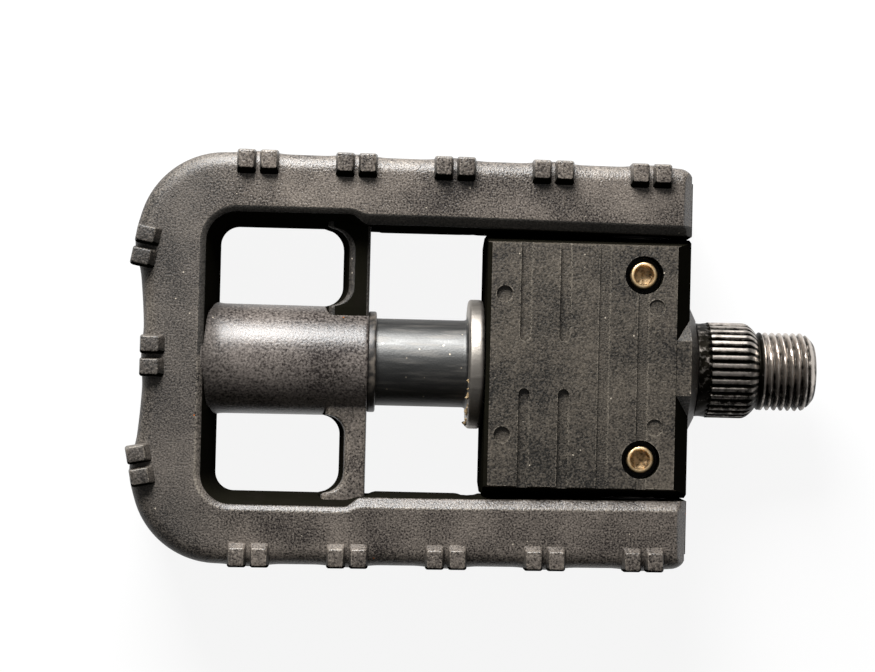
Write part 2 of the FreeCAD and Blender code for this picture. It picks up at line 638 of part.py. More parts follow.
def lobe():
    """Low swelling of the rim's side behind a pair of teeth, facing +X at X = 0."""
    half = LOBE_WIDTH / 2
    depth = RIM_BEVEL
    edges = [Part.Arc(vec(0, -half), vec(LOBE_RISE, 0), vec(0, half)).toShape(),
             Part.makePolygon([vec(0, half), vec(-depth, half), vec(-depth, -half), vec(0, -half)])]
    height = RIM_HEIGHT - 2 * RIM_BEVEL
    shape = Part.Face(Part.Wire(edges)).extrude(vec(0, 0, height))
    shape.translate(vec(0, 0, -height / 2))
    return shape


def pair_stations():
    """Places of the tooth pairs as (x, y, direction in degrees that the pair faces)."""
    stations = []
    arm_length = ARM_END_X - ARM_END_R - FRAME_OUTER_X - CORNER_R
    slope = math.degrees(math.atan2(ARM_TAPER, arm_length))
    for k in range(PAIRS_PER_ARM):
        setback = PAIR_FIRST_SETBACK + k * PAIR_PITCH
        y = ARM_END_Y + (setback - ARM_END_R) * ARM_TAPER / arm_length
        stations += [(ARM_END_X - setback, side * y, side * (90 - slope)) for side in SIDES]
    centre_x, radius = end_arc()
    stations.append((centre_x + radius, 0, 180))
    end_x = centre_x + math.sqrt(radius ** 2 - END_PAIR_Y ** 2)
    stations += [(end_x, side * END_PAIR_Y, 180 - side * END_PAIR_TILT) for side in SIDES]
    return stations


def grip():
    """Every pair of teeth, on both faces of the rim, with its lobe."""
    single = tooth()
    swelling = lobe()
    pieces = []
    for x, y, direction in pair_stations():
        place = FreeCAD.Placement(vec(x, y), FreeCAD.Rotation(Z_AXIS, direction))
        group = [swelling.copy()]
        for side in SIDES:
            one = single.copy()
            one.translate(vec(0, side * TOOTH_PITCH / 2))
            group += both_faces(one)
        for piece in group:
            piece.Placement = place.multiply(piece.Placement)
        pieces += group
    return pieces


def make_pedal_frame():
    rim = rim_blank().cut(window_bay() + hub_bay())
    return fused([rim] + tube_boss() + grip()).cut(frame_bores())


def make_hinge_bush():
    """Rear flanged bush, pressed into the arm from the hub's side."""
    flange_y = ARM_INNER_Y - HINGE_BUSH_FLANGE
    end_y = ARM_INNER_Y + HINGE_BUSH_LENGTH
    body = rod_y(HINGE_BUSH_R, flange_y, end_y, HINGE_X)
    flange = rod_y(HINGE_BUSH_FLANGE_R, flange_y, ARM_INNER_Y, HINGE_X)
    return body.fuse(flange).cut(rod_y(HINGE_PIN_R + RUNNING_GAP, flange_y, end_y, HINGE_X)).removeSplitter()


def make_nodes():
    """Every piece by its name."""
    pin = make_hinge_pin()
    bush = make_hinge_bush()
    return {
        "spindle": make_spindle(),
        "spindle_washer": make_spindle_washer(),
        "spindle_lock_nut": make_spindle_nut(),
        "hub_block": make_hub_block(),
        "inner_bush": make_inner_bush(),
        "outer_bush": make_outer_bush(),
        "shaft_seal": make_shaft_seal(),
        "end_cap": make_end_cap(),
        "hinge_pin_rear": pin,
        "hinge_pin_front": mirrored_y(pin),
        "pin_screws": Part.makeCompound([make_screw(side * SCREW_Y) for side in SIDES]),
        "pin_nuts": Part.makeCompound([make_screw_nut(side * SCREW_Y) for side in SIDES]),
        "pedal_frame": make_pedal_frame(),
        "hinge_bush_rear": bush,
        "hinge_bush_front": mirrored_y(bush),
        "sleeve_bush": make_sleeve_bush(),
        "lock_sleeve": make_lock_sleeve(),
        "sleeve_clip": make_sleeve_clip(),
        "sleeve_spring": make_sleeve_spring(),
        "spring_seat": make_spring_seat(),
    }


os.makedirs("parts", exist_ok=True)
for node_name, node_shape in make_nodes().items():
    node_shape.exportStep("parts/" + node_name + ".step")
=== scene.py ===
import json
import math

import bmesh
import bpy
import numpy as np
from bpy.props import FloatProperty, FloatVectorProperty, IntProperty, PointerProperty
from bpy.types import NodeSocket, Operator, Panel, PropertyGroup, Scene
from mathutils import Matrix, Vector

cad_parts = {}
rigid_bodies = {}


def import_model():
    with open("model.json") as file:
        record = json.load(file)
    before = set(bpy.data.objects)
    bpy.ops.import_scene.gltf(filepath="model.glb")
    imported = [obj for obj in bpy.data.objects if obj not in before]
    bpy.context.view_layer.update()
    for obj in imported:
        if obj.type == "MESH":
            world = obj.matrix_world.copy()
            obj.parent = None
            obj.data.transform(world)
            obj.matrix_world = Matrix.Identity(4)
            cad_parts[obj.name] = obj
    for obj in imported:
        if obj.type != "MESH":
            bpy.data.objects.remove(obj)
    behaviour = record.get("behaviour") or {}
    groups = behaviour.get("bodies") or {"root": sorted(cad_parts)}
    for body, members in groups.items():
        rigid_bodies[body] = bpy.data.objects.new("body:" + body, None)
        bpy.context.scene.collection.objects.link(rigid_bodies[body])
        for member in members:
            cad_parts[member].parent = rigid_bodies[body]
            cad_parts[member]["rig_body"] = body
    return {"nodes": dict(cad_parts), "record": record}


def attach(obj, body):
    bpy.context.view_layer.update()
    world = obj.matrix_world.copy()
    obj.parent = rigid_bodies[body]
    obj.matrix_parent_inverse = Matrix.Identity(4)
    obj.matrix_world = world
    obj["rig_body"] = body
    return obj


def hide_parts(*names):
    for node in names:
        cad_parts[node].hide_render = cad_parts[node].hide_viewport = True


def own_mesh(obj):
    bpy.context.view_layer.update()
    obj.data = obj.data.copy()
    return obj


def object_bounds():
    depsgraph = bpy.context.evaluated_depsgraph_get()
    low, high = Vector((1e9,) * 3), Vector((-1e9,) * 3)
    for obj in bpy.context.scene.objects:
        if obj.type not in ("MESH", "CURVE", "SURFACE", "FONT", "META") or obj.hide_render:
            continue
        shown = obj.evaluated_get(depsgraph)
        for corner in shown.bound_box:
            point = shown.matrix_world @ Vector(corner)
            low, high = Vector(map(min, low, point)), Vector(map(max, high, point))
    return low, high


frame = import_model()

bl_info = {
    "name": "Folding pedal",
    "version": (1, 0, 0),
    "blender": (4, 5, 0),
    "location": "3D View > Sidebar > Pedal",
    "description": "Dresses the packed folding pedal: frame, hub block, spindle, locking sleeve and screws",
    "category": "Object",
}

CAD_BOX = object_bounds()
MM = 0.001
TURN = 2 * math.pi

# Stations along the spindle's axis in millimetres, from the crank outwards, as in the part's source
THREAD_END, LAND_END = 10.7, -11.1
INNER_JOURNAL_END, TAPER_END, OUTER_JOURNAL_END, STUD_END = -29.7, -31.7, -42.7, -48.0
HINGE_X, ARM_END_X = -21.8, -13.0
FLANGE_X, SLEEVE_X, SLEEVE_TAIL_X, SPRING_HEAD_X = -50.05, -52.75, -83.8, -53.95
LIP_X, TUBE_BOSS_X, BUSH_END_X = -69.4, -70.85, -81.25
RIB_OUTER_X, FRAME_OUTER_X = -73.5, -112.55
TUBE_BORE_X, POCKET_X, SPRING_FOOT_X, SLEEVE_TRAVEL = -99.2, -102.2, -101.4, 14.4

# Plan sizes of the frame in millimetres; the window's are at mid height, and its walls flare to the top
ARM_INNER_Y, ARM_OUTER_Y, ARM_END_Y, ARM_END_R = 24.4, 36.8, 36.0, 2.6
LIP_EDGE_Y, LIP_TAPER, BAY_SWELL = 26.1, 0.65, 0.8
CORNER_R, END_DISH = 15.5, 1.6
WINDOW_Y, WINDOW_X, WINDOW_R, WINDOW_FLARE = 24.0, -98.1, 3.4, 3.05
WINDOW_FROM_X, BAY_FROM_X, BAY_TO_X = -71.5, -51.5, -71.0
BESIDE_X, BESIDE_STEP, TAPER_X, TAPER_RUN = -52.0, 0.85, -61.0, 48.0
ARM_LIP, ARM_LIP_DROP, WINDOW_LIP, WINDOW_LIP_DROP = 1.7, 1.25, 0.9, 0.6
RIM_TOP, RIB_TOP, LOBE_REACH = 11.5, 5.6, 6.0
END_SLOPE_RUN, END_SLOPE_DROP = 1.9, 2.8
BOSS_R, BOSS_ROOT_R, BORE_R, POCKET_R = 9.9, 10.0, 8.66, 6.12
BOSS_SETBACK, BOSS_SETBACK_Y = 1.6, 8.8
PAIR_FIRST, PAIR_PITCH, PAIRS = -20.9, 17.6, 5
END_PAIR_Y, END_PAIR_TILT = 19.8, 11.0

# Half sizes of the hub block and places in it, in millimetres
BLOCK_Y, BLOCK_TOP, SLOPE_FOOT, HINGE_CLEAR = 23.4, 12.0, 10.9, 5.0
SCREW_Y, PIN_HOLE_R = 16.5, 4.3

# Share of road soil over the hub block, and the wear below which a face takes its piece's second finish,
# which is painted shade
BLOCK_FILM = 0.12
SHADED_WALL_WEAR, SHADED_SOCKET_WEAR = -0.95, -0.4


# Shared shaping
def linear(code):
    """A colour written as an sRGB hex value, turned to linear RGB."""
    value = np.array([int(code[k:k + 2], 16) for k in (1, 3, 5)]) / 255
    return tuple(np.where(value <= 0.04045, value / 12.92, ((value + 0.055) / 1.055) ** 2.4))


def ease(t):
    """Runs from 0 to 1 with level ends: 3t^2 - 2t^3."""
    t = np.clip(t, 0, 1)
    return t * t * (3 - 2 * t)


def circle(count):
    """Even angles round a full turn."""
    return np.linspace(0, TURN, count, endpoint=False)


def joined(*parts, axis=0):
    """Arrays end to end."""
    return np.concatenate(parts, axis)


def stacked(*parts):
    """Arrays of one coordinate each, stretched to a common shape and joined to points."""
    return np.stack(np.broadcast_arrays(*parts), axis=-1)


def shell(rings, shade=0.0, loop=False):
    """Closed skin over rings of points: row i joins row i + 1 and every row closes on itself. The last
    row joins the first in a loop; otherwise the two end rows close in fans to their centres. The sign of
    the enclosed volume turns the faces outwards."""
    rows, columns = rings.shape[:2]
    index = np.arange(rows * columns).reshape(rows, columns)
    after = np.roll(index, -1, axis=0)
    beside = np.roll(index, -1, axis=1)
    quads = stacked(index, beside, np.roll(after, -1, axis=1), after)
    points = rings.reshape(-1, 3)
    shades = np.broadcast_to(shade, (rows, columns))
    fans = np.zeros((0, 3), int)
    if not loop:
        quads = quads[:-1]
        pole = rows * columns
        fans = np.vstack([stacked(beside[0], index[0], pole), stacked(index[-1], beside[-1], pole + 1)])
        points = np.vstack([points, rings[0].mean(axis=0), rings[-1].mean(axis=0)])
        shades = np.append(shades, [shades[0].mean(), shades[-1].mean()])
    quads = quads.reshape(-1, 4)
    corners = points[np.vstack([quads[:, [0, 1, 2]], quads[:, [0, 2, 3]], fans])]
    if np.einsum("ij,ij->", corners[:, 0], np.cross(corners[:, 1], corners[:, 2])) < 0:
        quads, fans = quads[:, ::-1], fans[:, ::-1]
    return points, quads, fans, np.ravel(shades)


def make_piece(name, shells, crease, attribute="wear"):
    """One mesh object at the origin from several skins, in metres, smooth but for edges sharper than
    crease."""
    starts = np.cumsum([0] + [len(part[0]) for part in shells])
    faces = []
    for start, part in zip(starts, shells):
        faces += (part[1] + start).tolist() + (part[2] + start).tolist()
    mesh = bpy.data.meshes.new(name)
    mesh.from_pydata(joined(*(part[0] for part in shells)) * MM, [], faces)
    values = mesh.attributes.new(attribute, "FLOAT", "POINT")
    values.data.foreach_set("value", joined(*(part[3] for part in shells)).astype(np.float32))
    mesh.shade_smooth()
    mesh.set_sharp_from_angle(angle=math.radians(crease))
    return link_piece(name, mesh)


def link_piece(name, mesh):
    piece = bpy.data.objects.new(name, mesh)
    bpy.context.scene.collection.objects.link(piece)
    return piece


def settle(piece, node, *finishes):
    """Puts a piece in a CAD node's place: its body and its finish, or two where some faces are marked
    for the second finish, which is painted shade."""
    piece.data.materials.clear()
    for finish in finishes:
        piece.data.materials.append(finish)
    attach(piece, frame["nodes"][node]["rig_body"])
    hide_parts(node)


def about_x(x, radius, angle):
    """Points about the X axis: (x, r cos a, r sin a)."""
    return stacked(x, radius * np.cos(angle), radius * np.sin(angle))


def turned(profile, columns=128):
    """Rings about the X axis from rows of (x, radius)."""
    profile = np.asarray(profile, float)
    return about_x(profile[:, :1], profile[:, 1:], circle(columns))


def rounded(corners, radii, steps=5):
    """Open polyline through corners, each inner corner cut by a parabolic arc that starts its radius
    away."""
    points = [corners[0]]
    for before, corner, after, radius in zip(corners, corners[1:], corners[2:], radii):
        before, corner, after = (np.array(p, float) for p in (before, corner, after))
        start = corner + (before - corner) / np.linalg.norm(before - corner) * radius
        stop = corner + (after - corner) / np.linalg.norm(after - corner) * radius
        t = np.linspace(0, 1, steps)[:, None]
        points += list((1 - t) ** 2 * start + 2 * t * (1 - t) * corner + t ** 2 * stop)
    return np.array(points + [corners[-1]], float)


def ring_of(half_x, half_y, radius, steps=6):
    """Rounded rectangles, one for each entry: a quarter circle of the radius about each corner's
    centre."""
    quarter = np.linspace(0, TURN / 4, steps)
    angle = joined(*(quarter + k * TURN / 4 for k in range(4)))
    sign_x = np.repeat([1, -1, -1, 1], steps)
    sign_y = np.repeat([1, 1, -1, -1], steps)
    half_x, half_y, radius = (np.asarray(v, float)[:, None] for v in (half_x, half_y, radius))
    x = sign_x * (half_x - radius) + radius * np.cos(angle)
    y = sign_y * (half_y - radius) + radius * np.sin(angle)
    return x, y


def per_face(mesh, key, size=1):
    """One value of every face, as rows of the given size."""
    values = np.zeros(len(mesh.polygons) * size)
    mesh.polygons.foreach_get(key, values)
    return values.reshape(-1, size)


def paint_shade_faces(mesh, shade_mask):
    """Gives the faces marked in the mask the piece's second finish, which is painted shade."""
    mesh.polygons.foreach_set("material_index", np.asarray(shade_mask, np.int32))


# Frame
def end_arc():
    """Centre X and radius of the hollow end's arc, which meets both corner arcs without a kink."""
    corner_y = ARM_OUTER_Y - CORNER_R
    radius = ((CORNER_R - END_DISH) ** 2 + corner_y ** 2 - CORNER_R ** 2) / (2 * END_DISH)
    return FRAME_OUTER_X + END_DISH - radius, radius


def arm_outer_y(x):
    """Outer side of the rear arm: a straight taper that rounds off in a quarter circle at the arm's
    end."""
    along = (ARM_END_X - ARM_END_R - x) / (ARM_END_X - ARM_END_R - FRAME_OUTER_X - CORNER_R)
    past = np.clip(x - (ARM_END_X - ARM_END_R), 0, ARM_END_R)
    return ARM_END_Y + (ARM_OUTER_Y - ARM_END_Y) * along - ARM_END_R + np.sqrt(ARM_END_R ** 2 - past ** 2)


def pair_stations():
    """Places of the tooth pairs, as rows of x, y and the direction that the pair faces."""
    centre_x, radius = end_arc()
    x = PAIR_FIRST - PAIR_PITCH * np.arange(PAIRS)
    slope = math.atan2(ARM_OUTER_Y - ARM_END_Y, ARM_END_X - ARM_END_R - FRAME_OUTER_X - CORNER_R)
    rear = stacked(x, arm_outer_y(x), TURN / 4 - slope)
    end_x = centre_x + math.sqrt(radius ** 2 - END_PAIR_Y ** 2)
    tilt = math.radians(END_PAIR_TILT)
    end = np.array([[end_x, END_PAIR_Y, TURN / 2 - tilt], [end_x, -END_PAIR_Y, TURN / 2 + tilt],
                    [centre_x + radius, 0, TURN / 2]])
    return joined(rear, rear * (1, -1, -1), end)


def rim_paths():
    """Plan curves of the rim's outer and inner sides with their outward normals, from the rear arm's end
    round the outer end to the front arm's end, and the inner wall's flare, lip width and lip depth. The
    inner curve is at mid height. Row i of one faces row i of the other."""
    centre_x, radius = end_arc()
    bend = math.atan2(ARM_OUTER_Y - CORNER_R, FRAME_OUTER_X + CORNER_R - centre_x)
    run = joined(np.linspace(0, 0.036, 13), np.linspace(0.044, 1, 110))
    turn = np.linspace(0, 1, 34)[1:-1]
    across = np.linspace(1, 0, 40)
    outer_x = ARM_END_X + run * (FRAME_OUTER_X + CORNER_R - ARM_END_X)
    inner_x = ARM_END_X + run * (WINDOW_X + WINDOW_R - ARM_END_X)
    angle = TURN / 4 + turn * (TURN / 4 + bend)
    inner_angle = TURN / 4 + turn * TURN / 4
    swing = bend * across
    outer = joined(
        stacked(outer_x, arm_outer_y(outer_x), 0.0, 1.0),
        stacked(FRAME_OUTER_X + CORNER_R + CORNER_R * np.cos(angle),
                ARM_OUTER_Y - CORNER_R + CORNER_R * np.sin(angle), np.cos(angle), np.sin(angle)),
        stacked(centre_x + radius * np.cos(swing), radius * np.sin(swing), -np.cos(swing), -np.sin(swing)))
    window = ease((WINDOW_FROM_X - inner_x) / 3)
    swell = BAY_SWELL * ease((BAY_FROM_X - inner_x) / 3) * ease((inner_x - BAY_TO_X) / 2)
    beside = BESIDE_STEP * ease((inner_x - BESIDE_X) / 2)
    wall_y = ARM_INNER_Y - swell - beside + (WINDOW_Y - ARM_INNER_Y) * window
    taper = LIP_TAPER * np.clip((inner_x - TAPER_X) / TAPER_RUN, 0, 1)
    edge_y = LIP_EDGE_Y - taper + (WINDOW_Y + WINDOW_FLARE - LIP_EDGE_Y) * window
    inner = joined(
        stacked(inner_x, wall_y, 0.0, 1.0),
        stacked(WINDOW_X + WINDOW_R + WINDOW_R * np.cos(inner_angle),
                WINDOW_Y - WINDOW_R + WINDOW_R * np.sin(inner_angle),
                np.cos(inner_angle), np.sin(inner_angle)),
        stacked(WINDOW_X, (WINDOW_Y - WINDOW_R) * across, -1.0, 0.0))
    rest = np.ones(len(turn) + len(across))
    flare = joined(edge_y - wall_y, WINDOW_FLARE * rest)
    window = joined(window, rest)
    lip = ARM_LIP + (WINDOW_LIP - ARM_LIP) * window
    wall = stacked(flare, lip, ARM_LIP_DROP + (WINDOW_LIP_DROP - ARM_LIP_DROP) * window)
    flip = np.array([1, -1, 1, -1])
    return tuple(joined(half, (half * sign)[-2::-1])
                 for half, sign in ((outer, flip), (inner, flip), (wall, np.ones(3))))


def bent(before, corner, after, steps):
    """Parabolic arcs from before to after that lean on corner, one for each row of points."""
    t = np.linspace(0, 1, steps)[None, :, None]
    return (1 - t) ** 2 * before[:, None] + 2 * t * (1 - t) * corner[:, None] + t ** 2 * after[:, None]


def rim_shell(sizes):
    """The U of the rim: a closed section carried along the two plan curves. The section goes up the outer
    wall, round the top edge in a quarter ellipse, over the top face, down the sloped lip and the flared
    inner wall to mid height, then the same mirrored below. Inside the boss the inner wall stands back
    from the sleeve. A sloped plane trims the arms' ends. The wear is high on rounded edges. Below 0 it
    is painted shade: on the walls, at the foot of the outer rounding, and on the rear arm's lip, which
    faces away from the light."""
    outer, inner, wall = rim_paths()
    away = outer[:, None, :2] - pair_stations()[None, :, :2]
    lobes = np.cos(np.clip(np.linalg.norm(away, axis=-1) / LOBE_REACH, 0, 1) * TURN / 4) ** 2
    outer[:, :2] += outer[:, 2:] * (sizes.lobe_rise / MM) * lobes.sum(axis=1)[:, None]
    big = sizes.rim_rounding / MM
    quarter = np.linspace(0, TURN / 4, 10)
    outer_offset = joined([0, 0, 0], 1.2 * big * (1 - np.cos(quarter)))
    outer_z = joined([0, 3, 6], RIM_TOP - big + big * np.sin(quarter))
    flare, lip, drop = wall.T
    edge = stacked(flare, RIM_TOP)
    toe = stacked(flare - lip, RIM_TOP - drop)
    down = (toe - edge) / np.linalg.norm(toe - edge, axis=-1, keepdims=True)
    below = -toe / np.linalg.norm(toe, axis=-1, keepdims=True)
    lower = toe[:, None] * np.array([0.9, 0.65, 0.4, 0.15])[None, :, None]
    edge_r, toe_r = 0.35, 0.3
    section = joined(bent(edge + (edge_r, 0), edge, edge + edge_r * down, 6),
                     bent(toe - toe_r * down, toe, toe + toe_r * below, 5), lower, axis=1)
    in_boss = (np.abs(inner[:, 1]) < BOSS_SETBACK_Y) & (inner[:, 0] < WINDOW_X + 0.01)
    set_back = BOSS_SETBACK * in_boss[:, None]
    section[..., 0] = np.maximum(section[..., 0], set_back)
    middle = inner[:, :2] + inner[:, 2:] * set_back
    outer_part = outer[:, None, :2] - outer[:, None, 2:] * outer_offset[None, :, None]
    inner_part = inner[:, None, :2] + inner[:, None, 2:] * section[..., :1]
    share = np.linspace(0, 1, 9)[1:-1, None]
    top_part = outer_part[:, -1:] * (1 - share) + inner_part[:, :1] * share
    upper = joined(outer_part, top_part, inner_part, axis=1)
    rows = len(outer)
    level = joined(outer_z, np.full(len(share), RIM_TOP))
    level = joined(np.broadcast_to(level, (rows, len(level))), section[..., 1], axis=1)
    plan = joined(upper, middle[:, None], upper[:, :0:-1], axis=1)
    level = joined(level, np.zeros((rows, 1)), -level[:, :0:-1], axis=1)
    near = np.clip(1 - (ARM_END_X - plan[..., 0]) / END_SLOPE_RUN, 0, 1)
    ceiling = RIM_TOP - END_SLOPE_DROP * near
    rings = joined(plan, np.clip(level, -ceiling, ceiling)[..., None], axis=-1)
    caps = rings[[0, -1]]
    inset, step = 0.02, 0.2
    caps[..., 1:] += inset * (caps[..., 1:].mean(axis=1, keepdims=True) - caps[..., 1:])
    rings[[0, -1], :, 0] -= step
    rings = joined(caps[:1], rings, caps[1:])
    # Painted shade on the outer wall and at the foot of the outer rounding.
    wall_shade = 0.6
    rounding = 0.3 * np.sin(2 * quarter) ** 2 - wall_shade * np.clip(1 - quarter / (TURN / 10), 0, 1)
    front_lip = np.array([0, 0.4, 0.6, 0.6, 0.4, 0.1, 0, 0, 0, -1, -1, -1, -1, -1, -1])
    # Painted shade: the rear arm's lip faces away from the light, so it is held at -0.9 or below.
    shaded_rear_lip = np.append(front_lip[:2], np.minimum(front_lip[2:], -0.9))
    worn = []
    for lip_wear_and_shade in (front_lip, shaded_rear_lip):
        half = joined(np.full(3, -wall_shade), rounding, np.zeros(len(share)), lip_wear_and_shade)
        worn.append(joined(half, [-1.0], half[:0:-1]))
    return shell(rings, np.where(rings[..., 1] > 0, worn[1], worn[0]))


def tooth_shells(sizes):
    """Grip teeth on both faces: stacked rounded rectangles that draw in evenly with height, most on the
    side towards the middle of the pedal, then close over the crest in a quarter circle. Each stack is
    turned to its station and set half a tooth pitch to one side. Its front flanks, which face away from
    the light, are marked for painted shade."""
    rise, crest_r, lean_in, lean_out, proud = sizes.tooth_height / MM, 0.28, 0.85, 0.3, 0.5
    quarter = np.linspace(0, TURN / 4, 5)
    z = joined([-2.2, 0.0, 0.5, 1.1], rise - crest_r * (1 - np.sin(quarter)))
    climb = np.clip(z / (rise - crest_r), 0, 1)
    crest = joined(np.zeros(4), crest_r * (1 - np.cos(quarter)))
    inner_slope, outer_slope = lean_in * climb + crest, lean_out * climb + crest
    half_x = (sizes.tooth_length / MM - inner_slope - outer_slope) / 2
    half_y = sizes.tooth_width / MM / 2 - outer_slope
    x, y = ring_of(half_x, half_y, np.maximum(0.5 - 0.6 * crest - 0.15 * climb, 0.12))
    x = x + (proud - outer_slope - half_x)[:, None]
    worn = joined([0, 0, 0, 0.1], 0.9 * np.sin(2 * quarter) ** 2)[:, None]
    # Painted shade: the flanks below the crest are marked -1, and the front ones take the near-black
    # finish.
    flank_shade = np.where(crest > 0.1, 0, -1.0)[:, None]
    level = RIM_TOP + z[:, None]
    shells = []
    for station_x, station_y, direction in pair_stations():
        for side in (-0.5, 0.5):
            offset = y + side * sizes.tooth_pitch / MM
            plan_x = station_x + x * math.cos(direction) - offset * math.sin(direction)
            plan_y = station_y + x * math.sin(direction) + offset * math.cos(direction)
            front = plan_y < plan_y.mean(axis=1, keepdims=True) - 1.0
            shade = np.where(front & (flank_shade < 0), flank_shade, worn)
            shells += [shell(stacked(plan_x, plan_y, face * level), shade) for face in (1, -1)]
    return shells


def rib_shells():
    """Cross rib from the tube boss to each arm: a flat section with rounded edges carried along Y, whose
    outer side swells in a quarter circle towards the boss and the arm. Painted shade lies on the drafted
    wall of its outer side and over the whole rear rib, which is in the rear arm's shadow."""
    y = joined(np.linspace(7.6, 14.2, 22), np.linspace(15, 20, 6), np.linspace(20.8, 26.2, 18))
    boss_r, arm_r = 3.5, 4.0
    boss = np.clip(BOSS_R + boss_r - y, 0, boss_r)
    arm = np.clip(y - (WINDOW_Y - arm_r), 0, arm_r)
    swell = boss_r - np.sqrt(boss_r ** 2 - boss ** 2) + arm_r - np.sqrt(arm_r ** 2 - arm ** 2)
    z = RIB_TOP - np.array([5.6, 3.6, 2.2, 1.1, 0.55, 0.2, 0.04, 0.0])
    edge = np.array([0.0, 0, 0, 0, 0.12, 0.36, 0.7, 1.05])
    drafted = RIB_OUTER_X - 2.2 * (1 - z / RIM_TOP) + edge
    right = np.broadcast_to(TUBE_BOSS_X - 0.5 * edge, (len(y), len(z)))
    left = drafted[None, :] - swell[:, None]
    x = joined(right, left[:, ::-1], left[:, 1:], right[:, :0:-1], axis=1)
    level = joined(z, z[::-1], -z[1:], -z[:0:-1])
    worn = joined(edge, edge[::-1], edge[1:], edge[:0:-1])
    # Painted shade: the drafted wall on the outer (-X) side is marked -1.
    walls = joined(0 * edge, (edge < 0.1)[::-1], (edge < 0.1)[1:], 0 * edge[1:])
    worn = np.where((worn > 0.1) & (worn < 0.8), 0.4, 0.0) - walls
    # Painted shade: the rear rib is lowered by 1 all over, as it lies in the rear arm's shadow.
    return [shell(stacked(x, side * y[:, None], level), shade[None, :])
            for side, shade in ((1, worn - 1), (-1, worn))]


def boss_shell():
    """Tube boss turned about the X axis: a fillet out of the end bar, a slight taper, a rounded mouth,
    the sleeve's bore and the spring's pocket."""
    foot_x, root_x, root_run, root_rise = -104.5, -100.6, 4.0, 1.3
    flare = np.linspace(0, 1, 11)
    root = stacked(root_x + root_run * flare, BOSS_ROOT_R + root_rise * (1 - flare) ** 2.2)
    skin = stacked(np.linspace(-95.8, -72, 26), np.linspace(BOSS_ROOT_R, BOSS_R, 26))
    mouth = rounded([(-71.9, BOSS_R), (TUBE_BOSS_X, BOSS_R), (TUBE_BOSS_X, BORE_R),
                     (TUBE_BOSS_X - 3, BORE_R)], (0.5, 0.15))
    inside = [(TUBE_BORE_X, BORE_R), (TUBE_BORE_X, POCKET_R), (POCKET_X, POCKET_R)]
    profile = joined([(foot_x, 9.0), (foot_x, 9.8)], root, skin, mouth, inside)
    return shell(turned(profile))


def cut_pin_holes(rim):
    """Round holes in the arms' outer sides over the hinge pins' ends, cut out of the rim's skin."""
    floor_y, outside_y = 34.8, 40.0
    depth = np.array([floor_y, floor_y, outside_y, outside_y])[:, None]
    radius = np.array([0.5, PIN_HOLE_R, PIN_HOLE_R, 0.5])[:, None]
    angle = circle(64)
    x, z = HINGE_X + radius * np.cos(angle), radius * np.sin(angle)
    for side in (1, -1):
        cutter = make_piece("pin_hole", [shell(stacked(x, side * depth, z))], 30)
        cut = rim.modifiers.new("pin_hole", "BOOLEAN")
        cut.object = cutter
        cut.solver = "EXACT"
        cut_mesh = bpy.data.meshes.new_from_object(rim.evaluated_get(bpy.context.evaluated_depsgraph_get()))
        rim.modifiers.clear()
        rim.data = cut_mesh
        bpy.data.objects.remove(cutter)


def face_wear_and_shade(mesh):
    """Mean of the wear attribute over each face's corners; below 0 it holds painted shade."""
    wear = np.zeros(len(mesh.vertices))
    mesh.attributes["wear"].data.foreach_get("value", wear)
    corner = np.zeros(len(mesh.loops), np.int32)
    mesh.loops.foreach_get("vertex_index", corner)
    start = per_face(mesh, "loop_start").ravel().astype(int)
    return np.add.reduceat(wear[corner], start) / per_face(mesh, "loop_total").ravel()


# Hub block
def draft_sides(mesh, draft):
    """Draws the block's sides in: above and below the hinge a point of a side moves inwards in proportion
    to its height, by the draft at the slope's foot and a fifth more at the top face. The floors of the
    grooves and marks go down to 1.6 times their depth, so that their edges show in a small picture."""
    places = np.zeros(len(mesh.vertices) * 3)
    mesh.vertices.foreach_get("co", places)
    places = places.reshape(-1, 3)
    height = np.abs(places[:, 2]) / MM
    deeper = 1.6
    sunk = (height > BLOCK_TOP - 0.65) & (height < BLOCK_TOP - 0.05)
    height = np.where(sunk, BLOCK_TOP - deeper * (BLOCK_TOP - height), height)
    places[:, 2] = np.sign(places[:, 2]) * height * MM
    side = BLOCK_Y * MM - np.interp(height, [HINGE_CLEAR, SLOPE_FOOT, BLOCK_TOP], [0, draft, 1.2 * draft])
    drawn = (np.abs(places[:, 1]) > (BLOCK_Y - 1.15) * MM) & (height > HINGE_CLEAR)
    places[:, 1] = np.where(drawn, np.sign(places[:, 1]) * side, places[:, 1])
    mesh.vertices.foreach_set("co", places.ravel())
    mesh.update()


def shaded_block_walls(mesh):
    """Marks the walls and end slopes, apart from the walls of the grooves, for the painted shade finish."""
    normal = np.abs(per_face(mesh, "normal", 3))
    centre = per_face(mesh, "center", 3) / MM
    deep = (np.abs(centre[:, 2]) < SLOPE_FOOT - 0.1) & (normal[:, 2] < 0.5)
    slope = (normal[:, 0] > 0.5) & (normal[:, 2] > 0.1) & (normal[:, 2] < 0.8)
    return (deep | slope) & (centre[:, 0] < ARM_END_X - 0.05)


